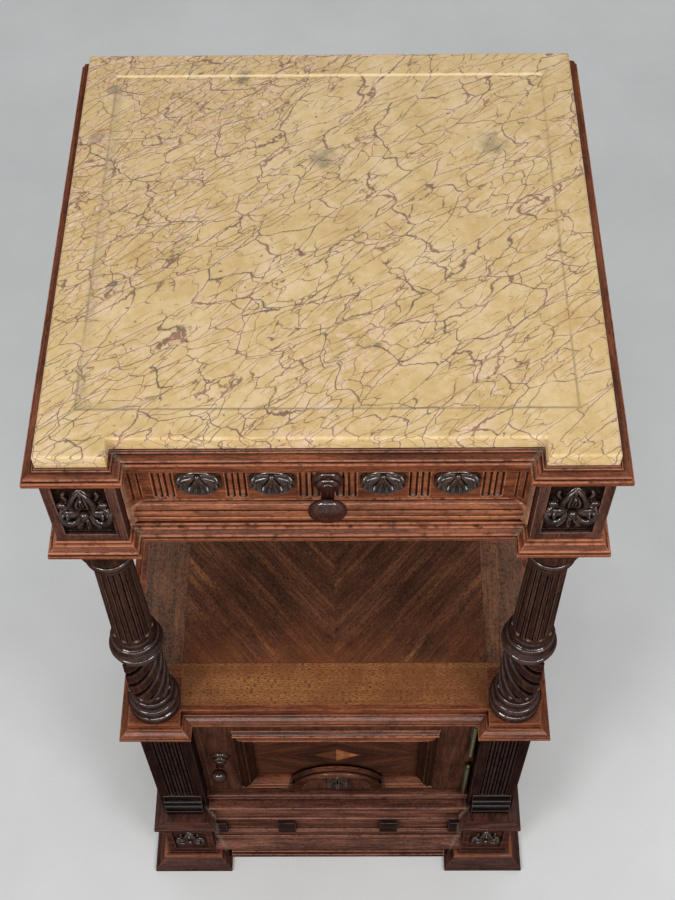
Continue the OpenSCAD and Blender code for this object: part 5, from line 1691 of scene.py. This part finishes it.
def build_case():
    """The plainer solids: each with eased edges and a grain of its own, the inner boards as they are"""
    for node, wood in (
        ("case_moulding", WALNUT), ("shelf_frame", WALNUT), ("plinth_front", PLINTH_WOOD),
        ("door_sill", PLINTH_WOOD),
    ):
        worked(node, wood, run_by_normal, 0.6 * MM, 24)
    for name in SIDES:
        for node, wood, slot, run in (
            ("plinth_side", PLINTH_WOOD, "walnut", "Y"), ("rear_foot", PLINTH_WOOD, "walnut", run_by_normal),
            ("corner_block", BLOCK_WOOD, "walnut", "Z"), ("side_apron", CASE_WOOD, "walnut", "Y"),
            ("rear_post", CASE_WOOD, "walnut", "Z"), ("post_base", EBONISED, "dark_walnut", "X"),
            ("side_frame", CASE_WOOD, "walnut", stile_or_rail), ("side_panel", CASE_WOOD, "veneer", "Z"),
            ("jamb_strip", CASE_WOOD, "walnut", "Z"), ("front_foot", FOOT_WOOD, "walnut", run_by_normal),
        ):
            worked(f"{node}_{name}", wood, run)
    for node in ("back_apron", "top_rail", "plinth_back_board"):
        worked(node, CASE_WOOD)
    worked("plinth_blocks", STEPPED_BLOCK_WOOD)
    worked("door_frame", CASE_WOOD, "Z")
    worked("shelf_board", SHELF_VENEER, ease=0.2 * MM)
    worked("door_panel", DOOR_VENEER, ease=0.2 * MM)
    worked("niche_back", CASE_WOOD, "Z", 0.2 * MM)
    for node in ("hinge_frame_leaves", "hinge_pins", "hinge_door_leaves"):
        worked(node, BRASS, "Z", 0.25 * MM)
    for axis, nodes in (
        ("X", ("drawer_back", "drawer_bottom", "dust_board", "cupboard_bottom")),
        ("Y", ("drawer_side_left", "drawer_side_right", "drawer_runner_left", "drawer_runner_right",
               "drawer_guides", "drawer_kickers")),
    ):
        for node in nodes:
            paint_solid(node, INNER[axis])
    paint_solid("cupboard_back", BACK_WOOD)


# ---- floor, light and camera ----

def pale_floor():
    """A pale ground just under the feet"""
    bm = bmesh.new()
    bmesh.ops.create_grid(bm, x_segments=8, y_segments=8, size=6.0)
    mesh = bpy.data.meshes.new("floor")
    bm.to_mesh(mesh)
    bm.free()
    floor = bpy.data.objects.new("floor", mesh)
    floor.location.z = cad_box[0][2] - 0.2 * MM

    def plain(tree):
        cloud = tree.noise(tree.place(), 3.0, 4.0, 0.6)
        return {
            "Base Color": tree.ramp(cloud, (0.3, rgb(214, 214, 212)), (0.7, rgb(226, 226, 224))),
            "Roughness": 0.7,
        }
    mesh.materials.append(finish("pale_floor", plain))
    bpy.context.scene.collection.objects.link(floor)


def soft_lamp(name, place, aim_z, width, depth, power):
    """A soft window of light that looks at the middle of the cupboard"""
    lamp = bpy.data.lights.new(name, "AREA")
    lamp.shape = "RECTANGLE"
    lamp.size, lamp.size_y = width, depth
    lamp.energy = power
    thing = bpy.data.objects.new(name, lamp)
    thing.location = place
    thing.rotation_euler = (Vector((0, 0, aim_z)) - Vector(place)).to_track_quat("-Z", "Y").to_euler()
    bpy.context.scene.collection.objects.link(thing)


def studio():
    """An even pale surround, three soft windows in front and a weak one behind"""
    world = bpy.data.worlds.new("soft_room")
    world.use_nodes = True
    world.node_tree.nodes.clear()
    tree = Tree(world.node_tree)
    sky = tree.node("ShaderNodeBackground", None, {"Color": (0.93, 0.96, 1.0, 1.0), "Strength": 0.42})
    tree.node("ShaderNodeOutputWorld", None, {"Surface": sky})
    bpy.context.scene.world = world
    soft_lamp("left_window", (-1.2, -1.5, 2.1), 0.6, 0.7, 0.7, 21)
    soft_lamp("right_window", (1.25, -1.45, 2.1), 0.6, 0.7, 0.7, 18)
    soft_lamp("front_window", (0.1, -2.0, 2.2), 0.6, 1.8, 0.35, 16)
    soft_lamp("back_fill", (0.2, 2.2, 2.2), 0.7, 2.0, 1.2, 8)


EYE = (0.0154, -0.691575, 1.6663)
AHEAD = (-0.0085, 0.5468, -0.8372)
RIGHT = (1.0, 0.001, -0.0095)
FOCAL_PIXELS = 1361.86
PICTURE_HEIGHT = 900.0


def camera():
    """The eye of the photograph, fitted to the cupboard's uprights and the marble's edges"""
    lens = bpy.data.cameras.new("view")
    lens.sensor_width = 36.0
    lens.lens = FOCAL_PIXELS * lens.sensor_width / PICTURE_HEIGHT
    lens.clip_start = 0.01
    ahead = Vector(AHEAD).normalized()
    up = Vector(RIGHT).normalized().cross(ahead)
    turn = Matrix((ahead.cross(up), up, -ahead)).transposed().to_4x4()
    eye = bpy.data.objects.new("view", lens)
    eye.matrix_world = Matrix.Translation(EYE) @ turn
    bpy.context.scene.collection.objects.link(eye)
    bpy.context.scene.camera = eye


build_case()
panel_moulding()
marble_top()
cornice()
case_beads()
foot_rolls()
drawer_front()
for hand, way in SIDES.items():
    column(hand, way)
    fluted_post(hand, way)
drawer_knob()
door_knob()
drawer_rosettes()
corner_palmettes()
foot_leaves()
arch_shell()
pale_floor()
studio()
camera()
bpy.context.scene.view_settings.view_transform = "Standard"
